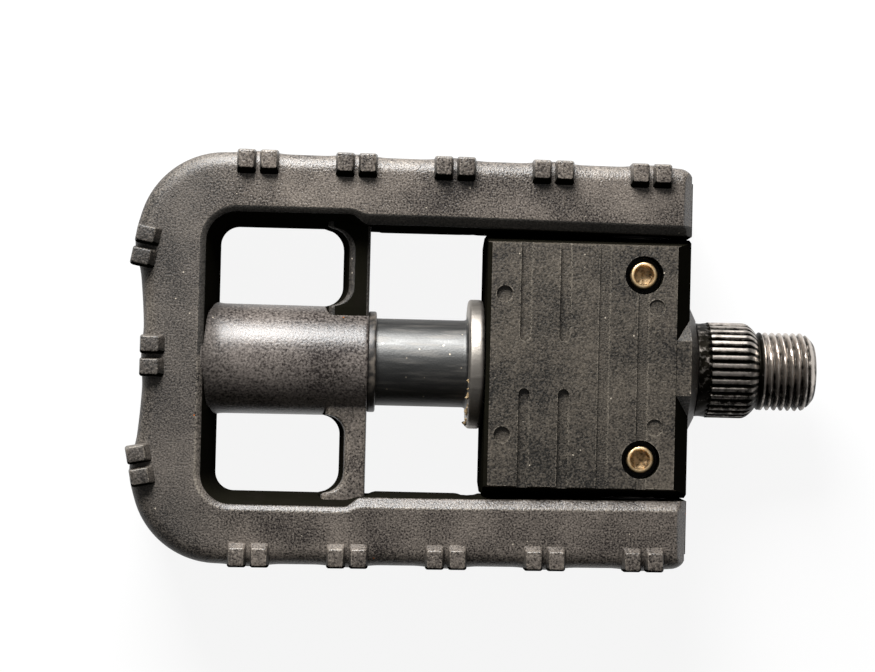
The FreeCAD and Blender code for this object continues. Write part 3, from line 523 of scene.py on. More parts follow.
# Spindle
def spindle_shell(sizes):
    """Spindle as one grid of stations by angles. In the thread the radius falls from the crest by a
    flat-topped triangle wave of x / pitch - angle / turn; on the collar by a wave of the angle; elsewhere
    it is round. Chamfers are envelopes that the radius is held under. The tip turns in to a hexagonal
    socket. The crest values are lowered on the front side, which faces away from the light: painted shade."""
    ridges = sizes.serrations
    columns = ridges * 10
    angle = circle(columns)[None, :]
    thread_r, collar_r = sizes.thread_radius / MM, sizes.collar_radius / MM
    pitch = sizes.thread_pitch / MM
    thread_depth, relief_depth, ridge_depth = 0.78, 0.55, 0.62
    lead_run, lead_drop, nose_run, nose_drop = 2.3, 1.9, 2.5, 1.75
    x = joined(np.linspace(THREAD_END, 0.12, 96), np.linspace(0, -2.4, 15),
               np.linspace(-2.7, -8.3, 9), np.linspace(-8.5, LAND_END, 18))[:, None]
    wave = np.abs(2 * np.mod(x / pitch - angle / TURN, 1) - 1)
    depth = np.clip((wave - 0.16) / 0.72, 0, 1)
    threaded = thread_r - thread_depth * depth * ease((x - 0.5) / 1.6)
    threaded -= relief_depth * ease((0.75 - x) / 0.5)
    lead = thread_r - lead_drop * np.clip((x - (THREAD_END - lead_run)) / lead_run, 0, 1) ** 1.7
    groove = np.abs(2 * np.mod(angle / TURN * ridges, 1) - 1)
    groove = ease((groove - 0.3) / 0.7) * ease((x + 9.5) / 0.9)
    dented = 0.07 * np.sin(5 * angle + 1) * np.sin(9 * angle + 2 * x) * (x < -8.6)
    toothed = np.where(x < -8.9, collar_r - 0.2, collar_r) - ridge_depth * groove + dented
    nose = collar_r - nose_drop * np.clip((x + nose_run) / nose_run, 0, 1) ** 1.9
    on_thread = x > 0.05
    radius = np.where(on_thread, np.minimum(threaded, lead), np.minimum(toothed, nose))
    crest = np.where(on_thread, 1 - 0.7 * depth, 0.62 - 0.9 * groove) * np.where(x < -8.7, 0.3, 1)
    crest = np.where(on_thread & (x < 0.9), 0.1, crest)
    # Painted shade: the crest values fall by up to 0.6 on the front side, away from the light.
    front_shade = 0.6 * ease((-0.05 - np.cos(angle)) / 0.7)
    crest = np.broadcast_to(np.clip(crest, 0, 1) * (1 - front_shade), radius.shape)
    socket = 3.0 / np.cos(np.mod(angle, TURN / 6) - TURN / 12)
    tip_r = radius[0].mean()
    front_x = np.array([2.7, 2.7, THREAD_END - 0.5, THREAD_END, THREAD_END])[:, None]
    mouth = np.maximum(socket, 3.3) + 0.12
    front = joined(0.2 * socket, socket, socket, mouth, 0 * socket + tip_r - 0.15)
    back = np.array([[LAND_END, 6.0], [INNER_JOURNAL_END, 6.0], [TAPER_END, 5.0], [OUTER_JOURNAL_END, 5.0],
                     [OUTER_JOURNAL_END, 4.0], [STUD_END + 0.5, 4.0], [STUD_END, 3.5]])
    station = joined(front_x, x, back[:, :1])
    radius = joined(front, radius, np.broadcast_to(back[:, 1:], (len(back), columns)))
    tip_crest, back_crest = np.full((len(front), columns), 0.55), np.full((len(back), columns), 0.8)
    crest = joined(tip_crest, crest, back_crest)
    return shell(about_x(station, radius, angle), crest)


# Locking sleeve and its bush
def sleeve_shell(sizes):
    """Sleeve turned about the X axis: flange with rounded rim, hollow root, tube, clip groove and bore."""
    tube_r, flange_r = sizes.sleeve_radius / MM, sizes.flange_radius / MM
    groove_r, groove_x, groove_end_x, bore_r = tube_r - 0.6, -82.1, -83.0, 6.2
    outline = [(FLANGE_X, 0.5), (FLANGE_X, flange_r), (SLEEVE_X, flange_r), (SLEEVE_X, tube_r),
               (groove_x, tube_r), (groove_x, groove_r), (groove_end_x, groove_r), (groove_end_x, tube_r),
               (SLEEVE_TAIL_X, tube_r), (SLEEVE_TAIL_X, bore_r), (SPRING_HEAD_X, bore_r),
               (SPRING_HEAD_X, 0.5)]
    profile = rounded(outline, (0.85, 0.7, 0.9, 0.05, 0.05, 0.05, 0.05, 0.3, 0.3, 0.3), 7)
    polish = np.where((profile[:, 0] > SLEEVE_X - 0.3) & (profile[:, 1] > tube_r + 0.8), 1.0, 0.0)
    return shell(turned(profile, 160), polish[:, None])


def burr_shell(sizes):
    """Ragged burr on the flange's outer edge: a small round section carried along an arc about the X
    axis, its height a sum of sines of the place along the arc, eased to nothing at both ends."""
    along = np.linspace(0, 1, 90)[:, None]
    angle = math.radians(98) + along * math.radians(96)
    ragged = 0.55 + 0.25 * np.sin(31 * along) + 0.2 * np.sin(74 * along + 1)
    ragged += 0.16 * np.sin(139 * along + 2)
    height = 0.95 * np.clip(ragged, 0.1, 1.1) * ease(along / 0.12) * ease((1 - along) / 0.1) + 0.03
    turn = circle(8)
    reach = sizes.flange_radius / MM - 0.75 + 0.3 * np.sin(57 * along) * height + 0.28 * np.cos(turn)
    x = SLEEVE_X + 0.4 - height * 0.5 * (1 + np.sin(turn))
    return shell(about_x(x, reach, angle))


def bush_shell():
    """Lipped bush turned about the X axis, its lip rounded."""
    outline = [(BUSH_END_X, 7.99), (LIP_X, 7.99), (LIP_X, 9.2), (TUBE_BOSS_X, 9.2), (TUBE_BOSS_X, 8.64),
               (BUSH_END_X, 8.64)]
    return shell(turned(rounded(outline, (0.2, 0.45, 0.3, 0.05), 6)), loop=True)


def spring_shell():
    """Coil spring: a round wire carried along even turns of a helix about the X axis."""
    wire_r, coil_r, turns, end = 0.7, 5.0, 8, 0.75
    along = np.linspace(0, 1, 320)[:, None]
    section = circle(10)
    x = SPRING_FOOT_X + end + (SPRING_HEAD_X - SPRING_FOOT_X - 2 * end) * along + wire_r * np.sin(section)
    return shell(about_x(x, coil_r + wire_r * np.cos(section), along * turns * TURN))


# Screws
def screw_shells():
    """Two socket screws turned about Z: shank, rounded head and a hexagonal socket, whose faces are marked
    for painted shade.
    """
    angle = circle(96)
    hexagon = 1.5 / np.cos(np.mod(angle, TURN / 6) - TURN / 12)
    shank_r, head_r, foot_z, seat_z, head_z = 1.5, 2.4, -10.9, 7.0, 11.3
    outer = rounded([(0.4, foot_z), (shank_r, foot_z), (shank_r, seat_z), (head_r, seat_z),
                     (head_r, head_z), (1.86, head_z)], (0.3, 0.05, 0.2, 0.45), 8)
    radius = joined(np.broadcast_to(outer[:, :1], (len(outer), 96)),
                    [np.maximum(hexagon * 1.02, 1.78), hexagon, hexagon, hexagon * 0.2])
    z = joined(outer[:, 1], [11.15, 10.7, 9.4, 9.1])
    # Painted shade: the socket's faces are marked -1 for the darker second finish.
    socket = joined(np.zeros(len(outer) + 1), [-1, -1, -1])[:, None]
    x, y = HINGE_X + radius * np.cos(angle), radius * np.sin(angle)
    return [shell(stacked(x, side * SCREW_Y + y, z[:, None]), socket) for side in (1, -1)]


# Finishes
def fill(tree, node, inputs):
    """Fills a node's sockets, by name or number, with a value or with another node's output."""
    for key, value in inputs.items():
        if isinstance(value, NodeSocket):
            tree.links.new(value, node.inputs[key])
        else:
            node.inputs[key].default_value = value


def add(tree, kind, inputs=None, output=0, **settings):
    """Adds one shader node: settings are its own properties, and inputs fill its sockets. Gives one of its
    outputs, by name or number."""
    node = tree.nodes.new("ShaderNode" + kind)
    for key, value in settings.items():
        setattr(node, key, value)
    fill(tree, node, inputs or {})
    return node.outputs[output]


def new_finish(name):
    """An empty node material and its shader."""
    material = bpy.data.materials.new(name)
    material.use_nodes = True
    tree = material.node_tree
    return material, tree, tree.nodes["Principled BSDF"]


def rgba(tone):
    """An opaque colour from a hex value or from linear RGB."""
    if isinstance(tone, str):
        tone = linear(tone)
    return (*tone, 1.0)


def specks(tree, place, spacing, width, rarity):
    """Dots in cells of the given spacing in millimetres, each filling the given width of its cell, in the
    cells whose red is over rarity; and the cells' colours."""
    cells = add(tree, "TexVoronoi", {"Vector": place, "Scale": 1 / (spacing * MM)}).node.outputs
    near = add(tree, "Math", {0: cells["Distance"], 1: width}, operation="LESS_THAN")
    pick = add(tree, "SeparateColor", {0: cells["Color"]}).node.outputs
    rare = add(tree, "Math", {0: pick["Red"], 1: rarity}, operation="GREATER_THAN")
    return add(tree, "Math", {0: near, 1: rare}, operation="MULTIPLY"), pick


def moulded_nylon(name, dark, light, colours, gloss, grain, relief, edge):
    """Glass-filled nylon from a spark-eroded mould: a half-matt skin, pebbled at the given grain and relief
    in mm, that glints where it turns to the light, with faint clouds 12 mm wide, slanting scuffs, rubbed
    edges, specks of dust and rust, and more soiling at the outer end. Edge names the attribute that holds
    the rubbing, and below 0 painted shade, which darkens and dulls the surface. For the hub block it is
    None: a 0.3 mm rounding finds the rubbed edges, and an even film of soil dulls every face."""
    material, tree, shader = new_finish(name)
    place = add(tree, "TexCoord", output="Object")
    pebble = add(tree, "TexNoise", {"Vector": place, "Scale": 1 / (grain * MM), "Detail": 2.0})
    slant = add(tree, "Mapping", {"Vector": place, "Rotation": (0, 0, math.radians(66)),
                                  "Scale": (4, 1, 1)}, vector_type="TEXTURE")
    scuff = add(tree, "TexNoise", {"Vector": slant, "Scale": 1 / (0.4 * MM), "Detail": 2.0})
    cloud = add(tree, "TexNoise", {"Vector": place, "Scale": 1 / (12 * MM), "Detail": 5.0,
                                   "Roughness": 0.55})
    both = add(tree, "Math", {0: pebble, 1: 1.4, 2: cloud}, operation="MULTIPLY_ADD")
    patch = add(tree, "MapRange", {"Value": both, "From Min": 0.95, "From Max": 1.75})
    tint = add(tree, "Mix", {0: patch, 6: rgba(dark), 7: rgba(light)}, 2, data_type="RGBA")
    scrape = add(tree, "MapRange", {"Value": scuff, "From Min": 0.58, "From Max": 0.8, "To Max": 0.12})
    tint = add(tree, "Mix", {0: scrape, 6: tint, 7: rgba(colours.dust)}, 2, data_type="RGBA")
    if edge is None:
        soft = add(tree, "Bevel", {"Radius": 0.3 * MM}, samples=6)
        flat = add(tree, "NewGeometry", output="Normal")
        turn = add(tree, "VectorMath", {0: soft, 1: flat}, "Value", operation="DOT_PRODUCT")
        rubbed = add(tree, "MapRange", {"Value": turn, "From Min": 0.995, "From Max": 0.87})
        dirt_and_wall_shade = add(tree, "Value")
        dirt_and_wall_shade.default_value = BLOCK_FILM
    else:
        rubbed = add(tree, "Attribute", output="Fac", attribute_name=edge)
        along = add(tree, "SeparateXYZ", {0: place}, "X")
        far = add(tree, "MapRange", {"Value": along, "From Min": -93 * MM, "From Max": -103 * MM,
                                     "To Max": 0.4})
        # Painted shade: below 0 the attribute mixes the colour towards the dark colour and roughens it.
        wall = add(tree, "MapRange", {"Value": rubbed, "From Min": 0.0, "From Max": -1.0, "To Max": 0.9})
        dirt_and_wall_shade = add(tree, "Math", {0: far, 1: wall}, operation="MAXIMUM")
    tint = add(tree, "Mix", {0: dirt_and_wall_shade, 6: tint, 7: rgba(colours.grime_and_shade)}, 2, data_type="RGBA")
    broken = add(tree, "MapRange", {"Value": both, "From Min": 1.0, "From Max": 1.6, "To Max": 0.6})
    worn = add(tree, "Math", {0: rubbed, 1: broken}, operation="MULTIPLY", use_clamp=True)
    tint = add(tree, "Mix", {0: worn, 6: tint, 7: rgba(colours.dust)}, 2, data_type="RGBA")
    speck, pick = specks(tree, place, 1.3, 0.11, 0.92)
    rust = add(tree, "Math", {0: pick["Green"], 1: 0.9}, operation="GREATER_THAN")
    grit = add(tree, "Mix", {0: rust, 6: rgba(colours.dust), 7: rgba(colours.rust)}, 2, data_type="RGBA")
    sheen = add(tree, "MapRange", {"Value": pebble, "From Min": 0.3, "From Max": 0.7,
                                   "To Min": gloss - 0.04, "To Max": gloss + 0.08})
    height = add(tree, "Math", {0: scuff, 1: 0.3, 2: pebble}, operation="MULTIPLY_ADD")
    fill(tree, shader, {
        "Base Color": add(tree, "Mix", {0: speck, 6: tint, 7: grit}, 2, data_type="RGBA"),
        "Roughness": add(tree, "Math", {0: dirt_and_wall_shade, 1: 0.45, 2: sheen}, operation="MULTIPLY_ADD"),
        "Normal": add(tree, "Bump", {"Height": height, "Strength": 1.0, "Distance": relief * MM}),
        "IOR": 1.53})
    return material


def painted_shade_nylon(name, grime_and_shade, bare):
    """Painted shade for faces that lie in shade: glass-filled nylon made almost black, with no
    shine, and with fainter clouds some 4 mm wide that let half of the bare colour through."""
    material, tree, shader = new_finish(name)
    place = add(tree, "TexCoord", output="Object")
    cloud = add(tree, "TexNoise", {"Vector": place, "Scale": 1 / (4 * MM), "Detail": 5.0, "Roughness": 0.6})
    thin = add(tree, "MapRange", {"Value": cloud, "From Min": 0.5, "From Max": 0.8, "To Max": 0.5})
    fill(tree, shader, {
        "Base Color": add(tree, "Mix", {0: thin, 6: rgba(grime_and_shade), 7: rgba(bare)}, 2, data_type="RGBA"),
        "Roughness": add(tree, "MapRange", {"Value": cloud, "To Min": 1.0, "To Max": 0.8}),
        "Normal": add(tree, "Bump", {"Height": cloud, "Strength": 0.5, "Distance": 0.2 * MM}),
        "Specular IOR Level": 0.0})
    return material


def crested_steel(name, oxide, bright):
    """Turned steel with a black oxide skin: crests rubbed bright, valleys dark with old grease. The crest
    attribute says how far out a point of the thread or serration is; it is also lowered on the spindle's
    front side as painted shade."""
    material, tree, shader = new_finish(name)
    place = add(tree, "TexCoord", output="Object")
    crest = add(tree, "Attribute", output="Fac", attribute_name="crest")
    blotch = add(tree, "TexNoise", {"Vector": place, "Scale": 1 / (1.2 * MM), "Detail": 4.0,
                                    "Roughness": 0.65})
    shift = add(tree, "Math", {0: blotch, 1: -0.5}, operation="ADD")
    level = add(tree, "Math", {0: shift, 1: 1.1, 2: crest}, operation="MULTIPLY_ADD")
    bare = add(tree, "MapRange", {"Value": level, "From Min": 0.2, "From Max": 0.8})
    fill(tree, shader, {
        "Base Color": add(tree, "Mix", {0: bare, 6: rgba(oxide), 7: rgba(bright)}, 2, data_type="RGBA"),
        "Roughness": add(tree, "MapRange", {"Value": bare, "To Min": 0.5, "To Max": 0.3}),
        "Normal": add(tree, "Bump", {"Height": blotch, "Strength": 0.25, "Distance": 0.1 * MM}),
        "Metallic": 1.0})
    return material


def plated_steel(name, plate, polished, dust):
    """Steel tube under dark plating that grit has scratched: a soft grey band of light, lengthwise wear
    streaks, fine scratches, dust specks, and a bare bright flange where the polish attribute is 1."""
    material, tree, shader = new_finish(name)
    place = add(tree, "TexCoord", output="Object")
    polish = add(tree, "Attribute", output="Fac", attribute_name="polish")
    drawn = add(tree, "Mapping", {"Vector": place, "Scale": (0.12, 1.0, 1.0)})
    streak = add(tree, "TexNoise", {"Vector": drawn, "Scale": 1 / (0.9 * MM), "Detail": 3.0})
    wear = add(tree, "MapRange", {"Value": streak, "From Min": 0.5, "From Max": 0.8, "To Max": 0.35})
    bare = add(tree, "Math", {0: wear, 1: polish}, operation="MAXIMUM")
    tint = add(tree, "Mix", {0: bare, 6: rgba(plate), 7: rgba(polished)}, 2, data_type="RGBA")
    speck = specks(tree, place, 1.1, 0.15, 0.8)[0]
    gloss = add(tree, "MapRange", {"Value": streak, "From Min": 0.3, "From Max": 0.8,
                                   "To Min": 0.42, "To Max": 0.6})
    scratch = add(tree, "TexNoise", {"Vector": place, "Scale": 1 / (0.35 * MM), "Detail": 3.0})
    fill(tree, shader, {
        "Base Color": add(tree, "Mix", {0: speck, 6: tint, 7: rgba(dust)}, 2, data_type="RGBA"),
        "Roughness": gloss,
        "Normal": add(tree, "Bump", {"Height": scratch, "Strength": 0.5, "Distance": 0.05 * MM}),
        "Metallic": 1.0})
    return material


def clouded(name, first, second, grain, reach, gloss, own):
    """Two tones in soft clouds of the given grain in millimetres. The clouds' reach is where the second
    tone starts and where it is full; gloss is the roughness from the first to the second; own fills more
    sockets."""
    material, tree, shader = new_finish(name)
    place = add(tree, "TexCoord", output="Object")
    cloud = add(tree, "TexNoise", {"Vector": place, "Scale": 1 / (grain * MM), "Detail": 4.0})
    share = add(tree, "MapRange", {"Value": cloud, "From Min": reach[0], "From Max": reach[1]})
    fill(tree, shader, {
        "Base Color": add(tree, "Mix", {0: share, 6: rgba(first), 7: rgba(second)}, 2, data_type="RGBA"),
        "Roughness": add(tree, "MapRange", {"Value": cloud, "To Min": gloss[0], "To Max": gloss[1]}),
        **own})
    return material


def plain_metal(name, colour, deeper, roughness, grain):
    """Small metal parts: one metal with a faint cloud of tarnish of the given grain in millimetres."""
    gloss = (roughness - 0.08, roughness + 0.1)
    return clouded(name, colour, deeper, grain, (0.4, 0.7), gloss, {"Metallic": 1.0})


def plain_polymer(name, colour, lighter, roughness, grain, ior):
    """Small plastic and rubber parts: a dark skin with a soft cloud of dust of the given grain in
    millimetres."""
    gloss = (roughness - 0.1, roughness + 0.1)
    return clouded(name, colour, lighter, grain, (0.45, 0.75), gloss, {"IOR": ior})


# What a user would change
def length(label, description, millimetres):
    return FloatProperty(name=label, description=description, default=millimetres * MM, min=0.0,
                         precision=5, subtype="DISTANCE", unit="LENGTH")


def colour(label, description, code):
    return FloatVectorProperty(name=label, description=description, default=linear(code), min=0.0, max=1.0,
                               size=3, subtype="COLOR")


class PedalSizes(PropertyGroup):
    """Sizes of the pieces that are drawn here."""

    thread_radius: length("Thread radius", "Outside radius of the crank thread", 7.14375)
    thread_pitch: length("Thread pitch", "Advance of the crank thread in one turn", 1.27)
    collar_radius: length("Collar radius", "Radius over the collar's serrations", 8.74)
    serrations: IntProperty(name="Serrations", description="Ridges round the collar", default=36, min=8)
    rim_rounding: length("Rim rounding", "Height of the rim's rounded outer edge", 2.6)
    lobe_rise: length("Lobe rise", "Height of the swelling behind each pair of teeth", 0.45)
    tooth_width: length("Tooth width", "Width of a grip tooth along the rim", 3.4)
    tooth_length: length("Tooth length", "Length of a grip tooth across the rim", 4.4)
    tooth_height: length("Tooth height", "Height of a grip tooth over the rim", 2.1)
    tooth_pitch: length("Tooth pitch", "Distance between the two teeth of a pair", 4.05)
    sleeve_radius: length("Sleeve radius", "Outside radius of the locking sleeve", 7.95)
    flange_radius: length("Flange radius", "Outside radius of the sleeve's flange", 11.8)
    block_draft: length("Block draft", "How far the hub block's sides lean in", 1.45)
    block_edge: length("Block edge", "Rounding of the hub block's edges", 0.16)


class PedalColours(PropertyGroup):
    """Colours of the visible finishes."""

    frame: colour("Frame", "Moulded frame", "#1e1a18")
    frame_light: colour("Frame, lighter", "Lighter clouds of the moulded frame", "#91877d")
    boss: colour("Tube boss", "Smooth skin of the tube boss", "#26211f")
    boss_light: colour("Tube boss, lighter", "Lighter clouds of the tube boss", "#938a83")
    block: colour("Block", "Moulded hub block", "#100e0b")
    block_light: colour("Block, lighter", "Lighter clouds of the hub block", "#6f665a")
    # The dark colour of painted shade on walls, lips, front flanks and the rear rib, and also of real road
    # soil at the outer end and over the hub block.
    grime_and_shade: colour("Grime", "Road dirt on walls and slopes", "#15140f")
    dust: colour("Dust", "Dust specks, scuffs and rubbed edges", "#b3a999")
    rust: colour("Rust", "Rust-coloured specks", "#b4601c")
    oxide: colour("Oxide", "Black oxide in the spindle's valleys", "#15130f")
    crest: colour("Crest", "Steel rubbed bright on the spindle", "#cdc4bb")
    plate: colour("Plating", "Dark plating of the sleeve", "#5d5d5c")
    polished: colour("Polished", "Bare flange of the sleeve", "#a8a29a")
    zinc: colour("Zinc", "Yellow zinc of the screws", "#ffe2b4")


class PedalSpindle(Operator):
    """Draw the spindle with its thread, serrated collar and key socket"""

    bl_idname = "pedal.spindle"
    bl_label = "Spindle"

    def execute(self, context):
        colours = context.scene.pedal_colours
        piece = make_piece("spindle_turned", [spindle_shell(context.scene.pedal_sizes)], 35, "crest")
        settle(piece, "spindle", crested_steel("black_oxide_turned_steel", colours.oxide, colours.crest))
        return {"FINISHED"}


class PedalFrame(Operator):
    """Draw the moulded frame with its rim, teeth, rib and tube boss"""

    bl_idname = "pedal.frame"
    bl_label = "Frame"

    def execute(self, context):
        sizes, colours = context.scene.pedal_sizes, context.scene.pedal_colours
        rim = make_piece("frame_rim", [rim_shell(sizes)], 40)
        cut_pin_holes(rim)
        rest = make_piece("frame_moulded", tooth_shells(sizes) + rib_shells(), 40)
        nylon = moulded_nylon("spark_textured_glass_filled_nylon", colours.frame, colours.frame_light,
                              colours, 0.3, 0.32, 0.1, "wear")
        boss = make_piece("frame_tube_boss", [boss_shell()], 40)
        smooth = moulded_nylon("smooth_moulded_glass_filled_nylon", colours.boss, colours.boss_light,
                               colours, 0.31, 0.4, 0.05, "wear")
        # The second finish is painted shade: near black, with no shine, on faces whose wear is below the
        # limit.
        painted_shade = painted_shade_nylon("painted_shade_nylon_frame", colours.grime_and_shade, colours.frame)
        for piece in (rim, rest):
            settle(piece, "pedal_frame", nylon, painted_shade)
            paint_shade_faces(piece.data, face_wear_and_shade(piece.data) < SHADED_WALL_WEAR)
        settle(boss, "pedal_frame", smooth)
        return {"FINISHED"}


class PedalBlock(Operator):
    """Round the hub block's edges and give it its moulded finish"""

    bl_idname = "pedal.block"
    bl_label = "Hub block"

    def execute(self, context):
        sizes, colours = context.scene.pedal_sizes, context.scene.pedal_colours
        copy = bmesh.new()
        copy.from_mesh(frame["nodes"]["hub_block"].data)
        bmesh.ops.remove_doubles(copy, verts=copy.verts, dist=0.001 * MM)
        bmesh.ops.dissolve_limit(copy, angle_limit=math.radians(0.5), verts=copy.verts, edges=copy.edges)
        for height in (HINGE_CLEAR * MM, -HINGE_CLEAR * MM):
            bmesh.ops.bisect_plane(copy, geom=[*copy.verts, *copy.edges, *copy.faces],
                                   plane_co=(0, 0, height), plane_no=(0, 0, 1))
        mesh = bpy.data.meshes.new("block_moulded")
        copy.to_mesh(mesh)
        copy.free()
        draft_sides(mesh, sizes.block_draft)
        mesh.shade_smooth()
        crease = math.radians(28)
        mesh.set_sharp_from_angle(angle=crease)
        piece = link_piece("block_moulded", mesh)
        bevel = piece.modifiers.new("edges", "BEVEL")
        bevel.width = sizes.block_edge
        bevel.segments = 2
        bevel.angle_limit = crease
        flat = piece.modifiers.new("flat_faces", "WEIGHTED_NORMAL")
        flat.weight = 100
        nylon = moulded_nylon("moulded_glass_filled_nylon", colours.block, colours.block_light, colours,
                              0.38, 0.32, 0.09, None)
        # The second finish is painted shade on the block's walls and end slopes.
        painted_shade = painted_shade_nylon("painted_shade_nylon_block", colours.grime_and_shade, colours.block)
        settle(piece, "hub_block", nylon, painted_shade)
        paint_shade_faces(mesh, shaded_block_walls(mesh))
        return {"FINISHED"}


class PedalSleeve(Operator):
    """Draw the locking sleeve with its flange and spring, and the lipped bush it slides in"""

    bl_idname = "pedal.sleeve"
    bl_label = "Locking sleeve"

    def execute(self, context):
        sizes, colours = context.scene.pedal_sizes, context.scene.pedal_colours
        sleeve = make_piece("sleeve_plated", [sleeve_shell(sizes)], 35, "polish")
        steel = plated_steel("dark_plated_polished_steel", colours.plate, colours.polished, colours.dust)
        settle(sleeve, "lock_sleeve", steel)
        burr = make_piece("sleeve_burr", [burr_shell(sizes)], 50)
        grit = plain_polymer("dried_grease_and_grit", "#8d7757", "#c2ab86", 0.6, 0.5, 1.48)
        settle(burr, "lock_sleeve", grit)
        spring = make_piece("spring_coil", [spring_shell()], 60)
        wire = plain_metal("oil_hardened_spring_wire", "#5d5b58", "#3b3936", 0.38, 1.0)
        settle(spring, "sleeve_spring", wire)
        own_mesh(spring)
        bush = make_piece("bush_lipped", [bush_shell()], 40)
        acetal = plain_polymer("black_acetal_turned", "#2c2a28", "#6d655c", 0.4, 1.5, 1.48)
        settle(bush, "sleeve_bush", acetal)
        return {"FINISHED"}


class PedalScrews(Operator):
    """Draw the two socket screws of the hinge pins"""

    bl_idname = "pedal.screws"
    bl_label = "Pin screws"

    def execute(self, context):
        piece = make_piece("screws_socket_head", screw_shells(), 35)
        plate = plain_metal("yellow_zinc_plate", context.scene.pedal_colours.zinc, "#d3ab72", 0.46, 1.0)
        # The second finish is painted shade inside the hex socket.
        settle(piece, "pin_screws", plate, plain_metal("yellow_zinc_painted_socket_shade", "#dcc097", "#54402a", 0.5, 0.8))
        paint_shade_faces(piece.data, face_wear_and_shade(piece.data) < SHADED_SOCKET_WEAR)
        return {"FINISHED"}


class PedalFinishes(Operator):
    """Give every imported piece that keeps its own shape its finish"""

    bl_idname = "pedal.finishes"
    bl_label = "Small parts' finishes"

    def execute(self, context):
        zinc = context.scene.pedal_colours.zinc
        finishes = {
            "bright_steel": plain_metal("ground_bright_steel", "#86837d", "#5f5b55", 0.42, 1.5),
            "spring_steel": plain_metal("blued_spring_steel", "#5d5b58", "#3b3936", 0.38, 1.0),
            "bronze": plain_metal("sintered_bronze", "#a07a45", "#7a5a30", 0.45, 0.6),
            "yellow_zinc": plain_metal("yellow_zinc_nut", zinc, "#8a6a3c", 0.35, 1.0),
            "seal_rubber": plain_polymer("moulded_nitrile_rubber", "#1c1b1a", "#3a3733", 0.6, 1.2, 1.52),
            "cap_plastic": plain_polymer("moulded_polypropylene", "#131211", "#24211e", 0.7, 2.0, 1.49),
            "bush_acetal": plain_polymer("black_acetal_flanged", "#242322", "#4a453f", 0.4, 1.5, 1.48)}
        for part in frame["record"]["subparts"]:
            node = frame["nodes"][part["node"]]
            if not node.hide_render:
                node.data.materials.clear()
                node.data.materials.append(finishes[part["material_slot"]])
        return {"FINISHED"}


def add_lamp(name, place, target, energy, width, height):
    """Area lamp at a place, turned so that its light falls on the target."""
    lamp = bpy.data.lights.new(name, "AREA")
    lamp.shape = "RECTANGLE"
    lamp.energy = energy
    lamp.size = width
    lamp.size_y = height
    holder = bpy.data.objects.new(name, lamp)
    bpy.context.scene.collection.objects.link(holder)
    holder.location = place
    away = np.array(place) - np.array(target)
    tip = math.acos(away[2] / np.linalg.norm(away))
    holder.rotation_euler = (tip, 0, math.atan2(away[1], away[0]) + TURN / 4)


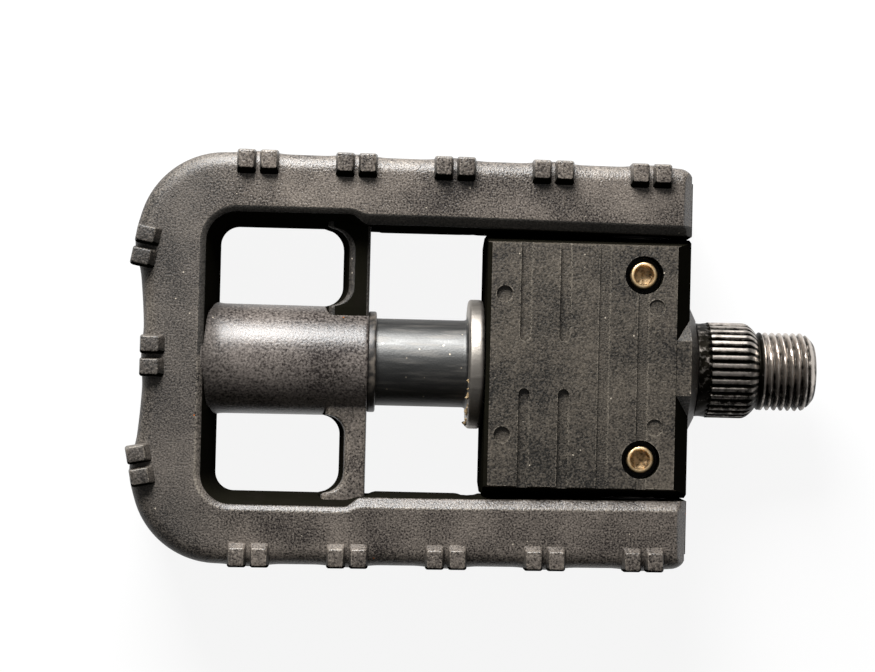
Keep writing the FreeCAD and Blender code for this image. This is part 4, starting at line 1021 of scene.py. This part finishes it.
class PedalStage(Operator):
    """Set the floor, the lamps and the camera"""

    bl_idname = "pedal.stage"
    bl_label = "Stage"

    def execute(self, context):
        scene = context.scene
        floor = bpy.data.meshes.new("floor")
        floor_z = CAD_BOX[0].z - 0.05 * MM
        corners = [(x, y, floor_z) for x, y in ((-2, -2), (2, -2), (2, 2), (-2, 2))]
        floor.from_pydata(corners, [], [(0, 1, 2, 3)])
        material, tree, shader = new_finish("white_card")
        ray = add(tree, "LightPath").node.outputs
        seen = add(tree, "Math", {0: ray["Is Camera Ray"], 1: ray["Is Glossy Ray"]}, operation="ADD")
        seen = add(tree, "Math", {0: seen, 1: ray["Is Transmission Ray"]}, operation="ADD", use_clamp=True)
        card = {0: seen, 6: rgba("#5c5a58"), 7: rgba("#5c5c5c")}
        fill(tree, shader, {
            "Base Color": add(tree, "Mix", card, 2, data_type="RGBA"),
            "Emission Strength": add(tree, "Math", {0: seen, 1: 0.9}, operation="MULTIPLY"),
            "Emission Color": (1, 1, 1, 1), "Roughness": 0.9, "Specular IOR Level": 0.0})
        floor.materials.append(material)
        link_piece("floor", floor)
        world = bpy.data.worlds.new("studio")
        world.use_nodes = True
        tree = world.node_tree
        bright_side = (-0.1, 0.8, 0.59)
        ray = add(tree, "TexCoord", output="Generated")
        lean = add(tree, "VectorMath", {0: ray, 1: bright_side}, "Value", operation="DOT_PRODUCT")
        glow = add(tree, "MapRange", {"Value": lean, "From Min": -0.6, "To Min": 0.02, "To Max": 0.22})
        fill(tree, tree.nodes["Background"], {"Color": (1, 1, 1, 1), "Strength": glow})
        scene.world = world
        middle = (-0.06, 0, 0)
        add_lamp("window", (-0.14, 0.3, 0.22), middle, 3.0, 0.2, 0.17)
        add_lamp("sill", (-0.12, 0.4, 0.075), middle, 1.1, 0.36, 0.12)
        scene.view_settings.view_transform = "Standard"
        camera = bpy.data.cameras.new("camera")
        camera.lens = 102.857
        camera.sensor_width = 36
        holder = bpy.data.objects.new("camera", camera)
        scene.collection.objects.link(holder)
        holder.location = (-72.3 * MM, -6.6 * MM, 457.2 * MM)
        holder.rotation_euler = [math.radians(turn) for turn in (1.41, -1.8, 1.39)]
        scene.camera = holder
        return {"FINISHED"}


class PedalPanel(Panel):
    """Lists the pedal's pieces and the values a user may change"""

    bl_idname = "VIEW3D_PT_pedal"
    bl_label = "Folding pedal"
    bl_space_type = "VIEW_3D"
    bl_region_type = "UI"
    bl_category = "Pedal"

    def draw(self, context):
        for kind in OPERATORS:
            self.layout.operator(kind.bl_idname)
        for group in (context.scene.pedal_sizes, context.scene.pedal_colours):
            column = self.layout.column(align=True)
            for key in group.__annotations__:
                column.prop(group, key)


OPERATORS = (PedalSpindle, PedalFrame, PedalBlock, PedalSleeve, PedalScrews, PedalFinishes, PedalStage)
CLASSES = (PedalSizes, PedalColours, *OPERATORS, PedalPanel)


def register():
    for kind in CLASSES:
        bpy.utils.register_class(kind)
    Scene.pedal_sizes = PointerProperty(type=PedalSizes)
    Scene.pedal_colours = PointerProperty(type=PedalColours)


def unregister():
    del Scene.pedal_sizes, Scene.pedal_colours
    for kind in reversed(CLASSES):
        bpy.utils.unregister_class(kind)


def main():
    register()
    bpy.ops.pedal.spindle()
    bpy.ops.pedal.frame()
    bpy.ops.pedal.block()
    bpy.ops.pedal.sleeve()
    bpy.ops.pedal.screws()
    bpy.ops.pedal.finishes()
    bpy.ops.pedal.stage()


if __name__ == "__main__":
    main()
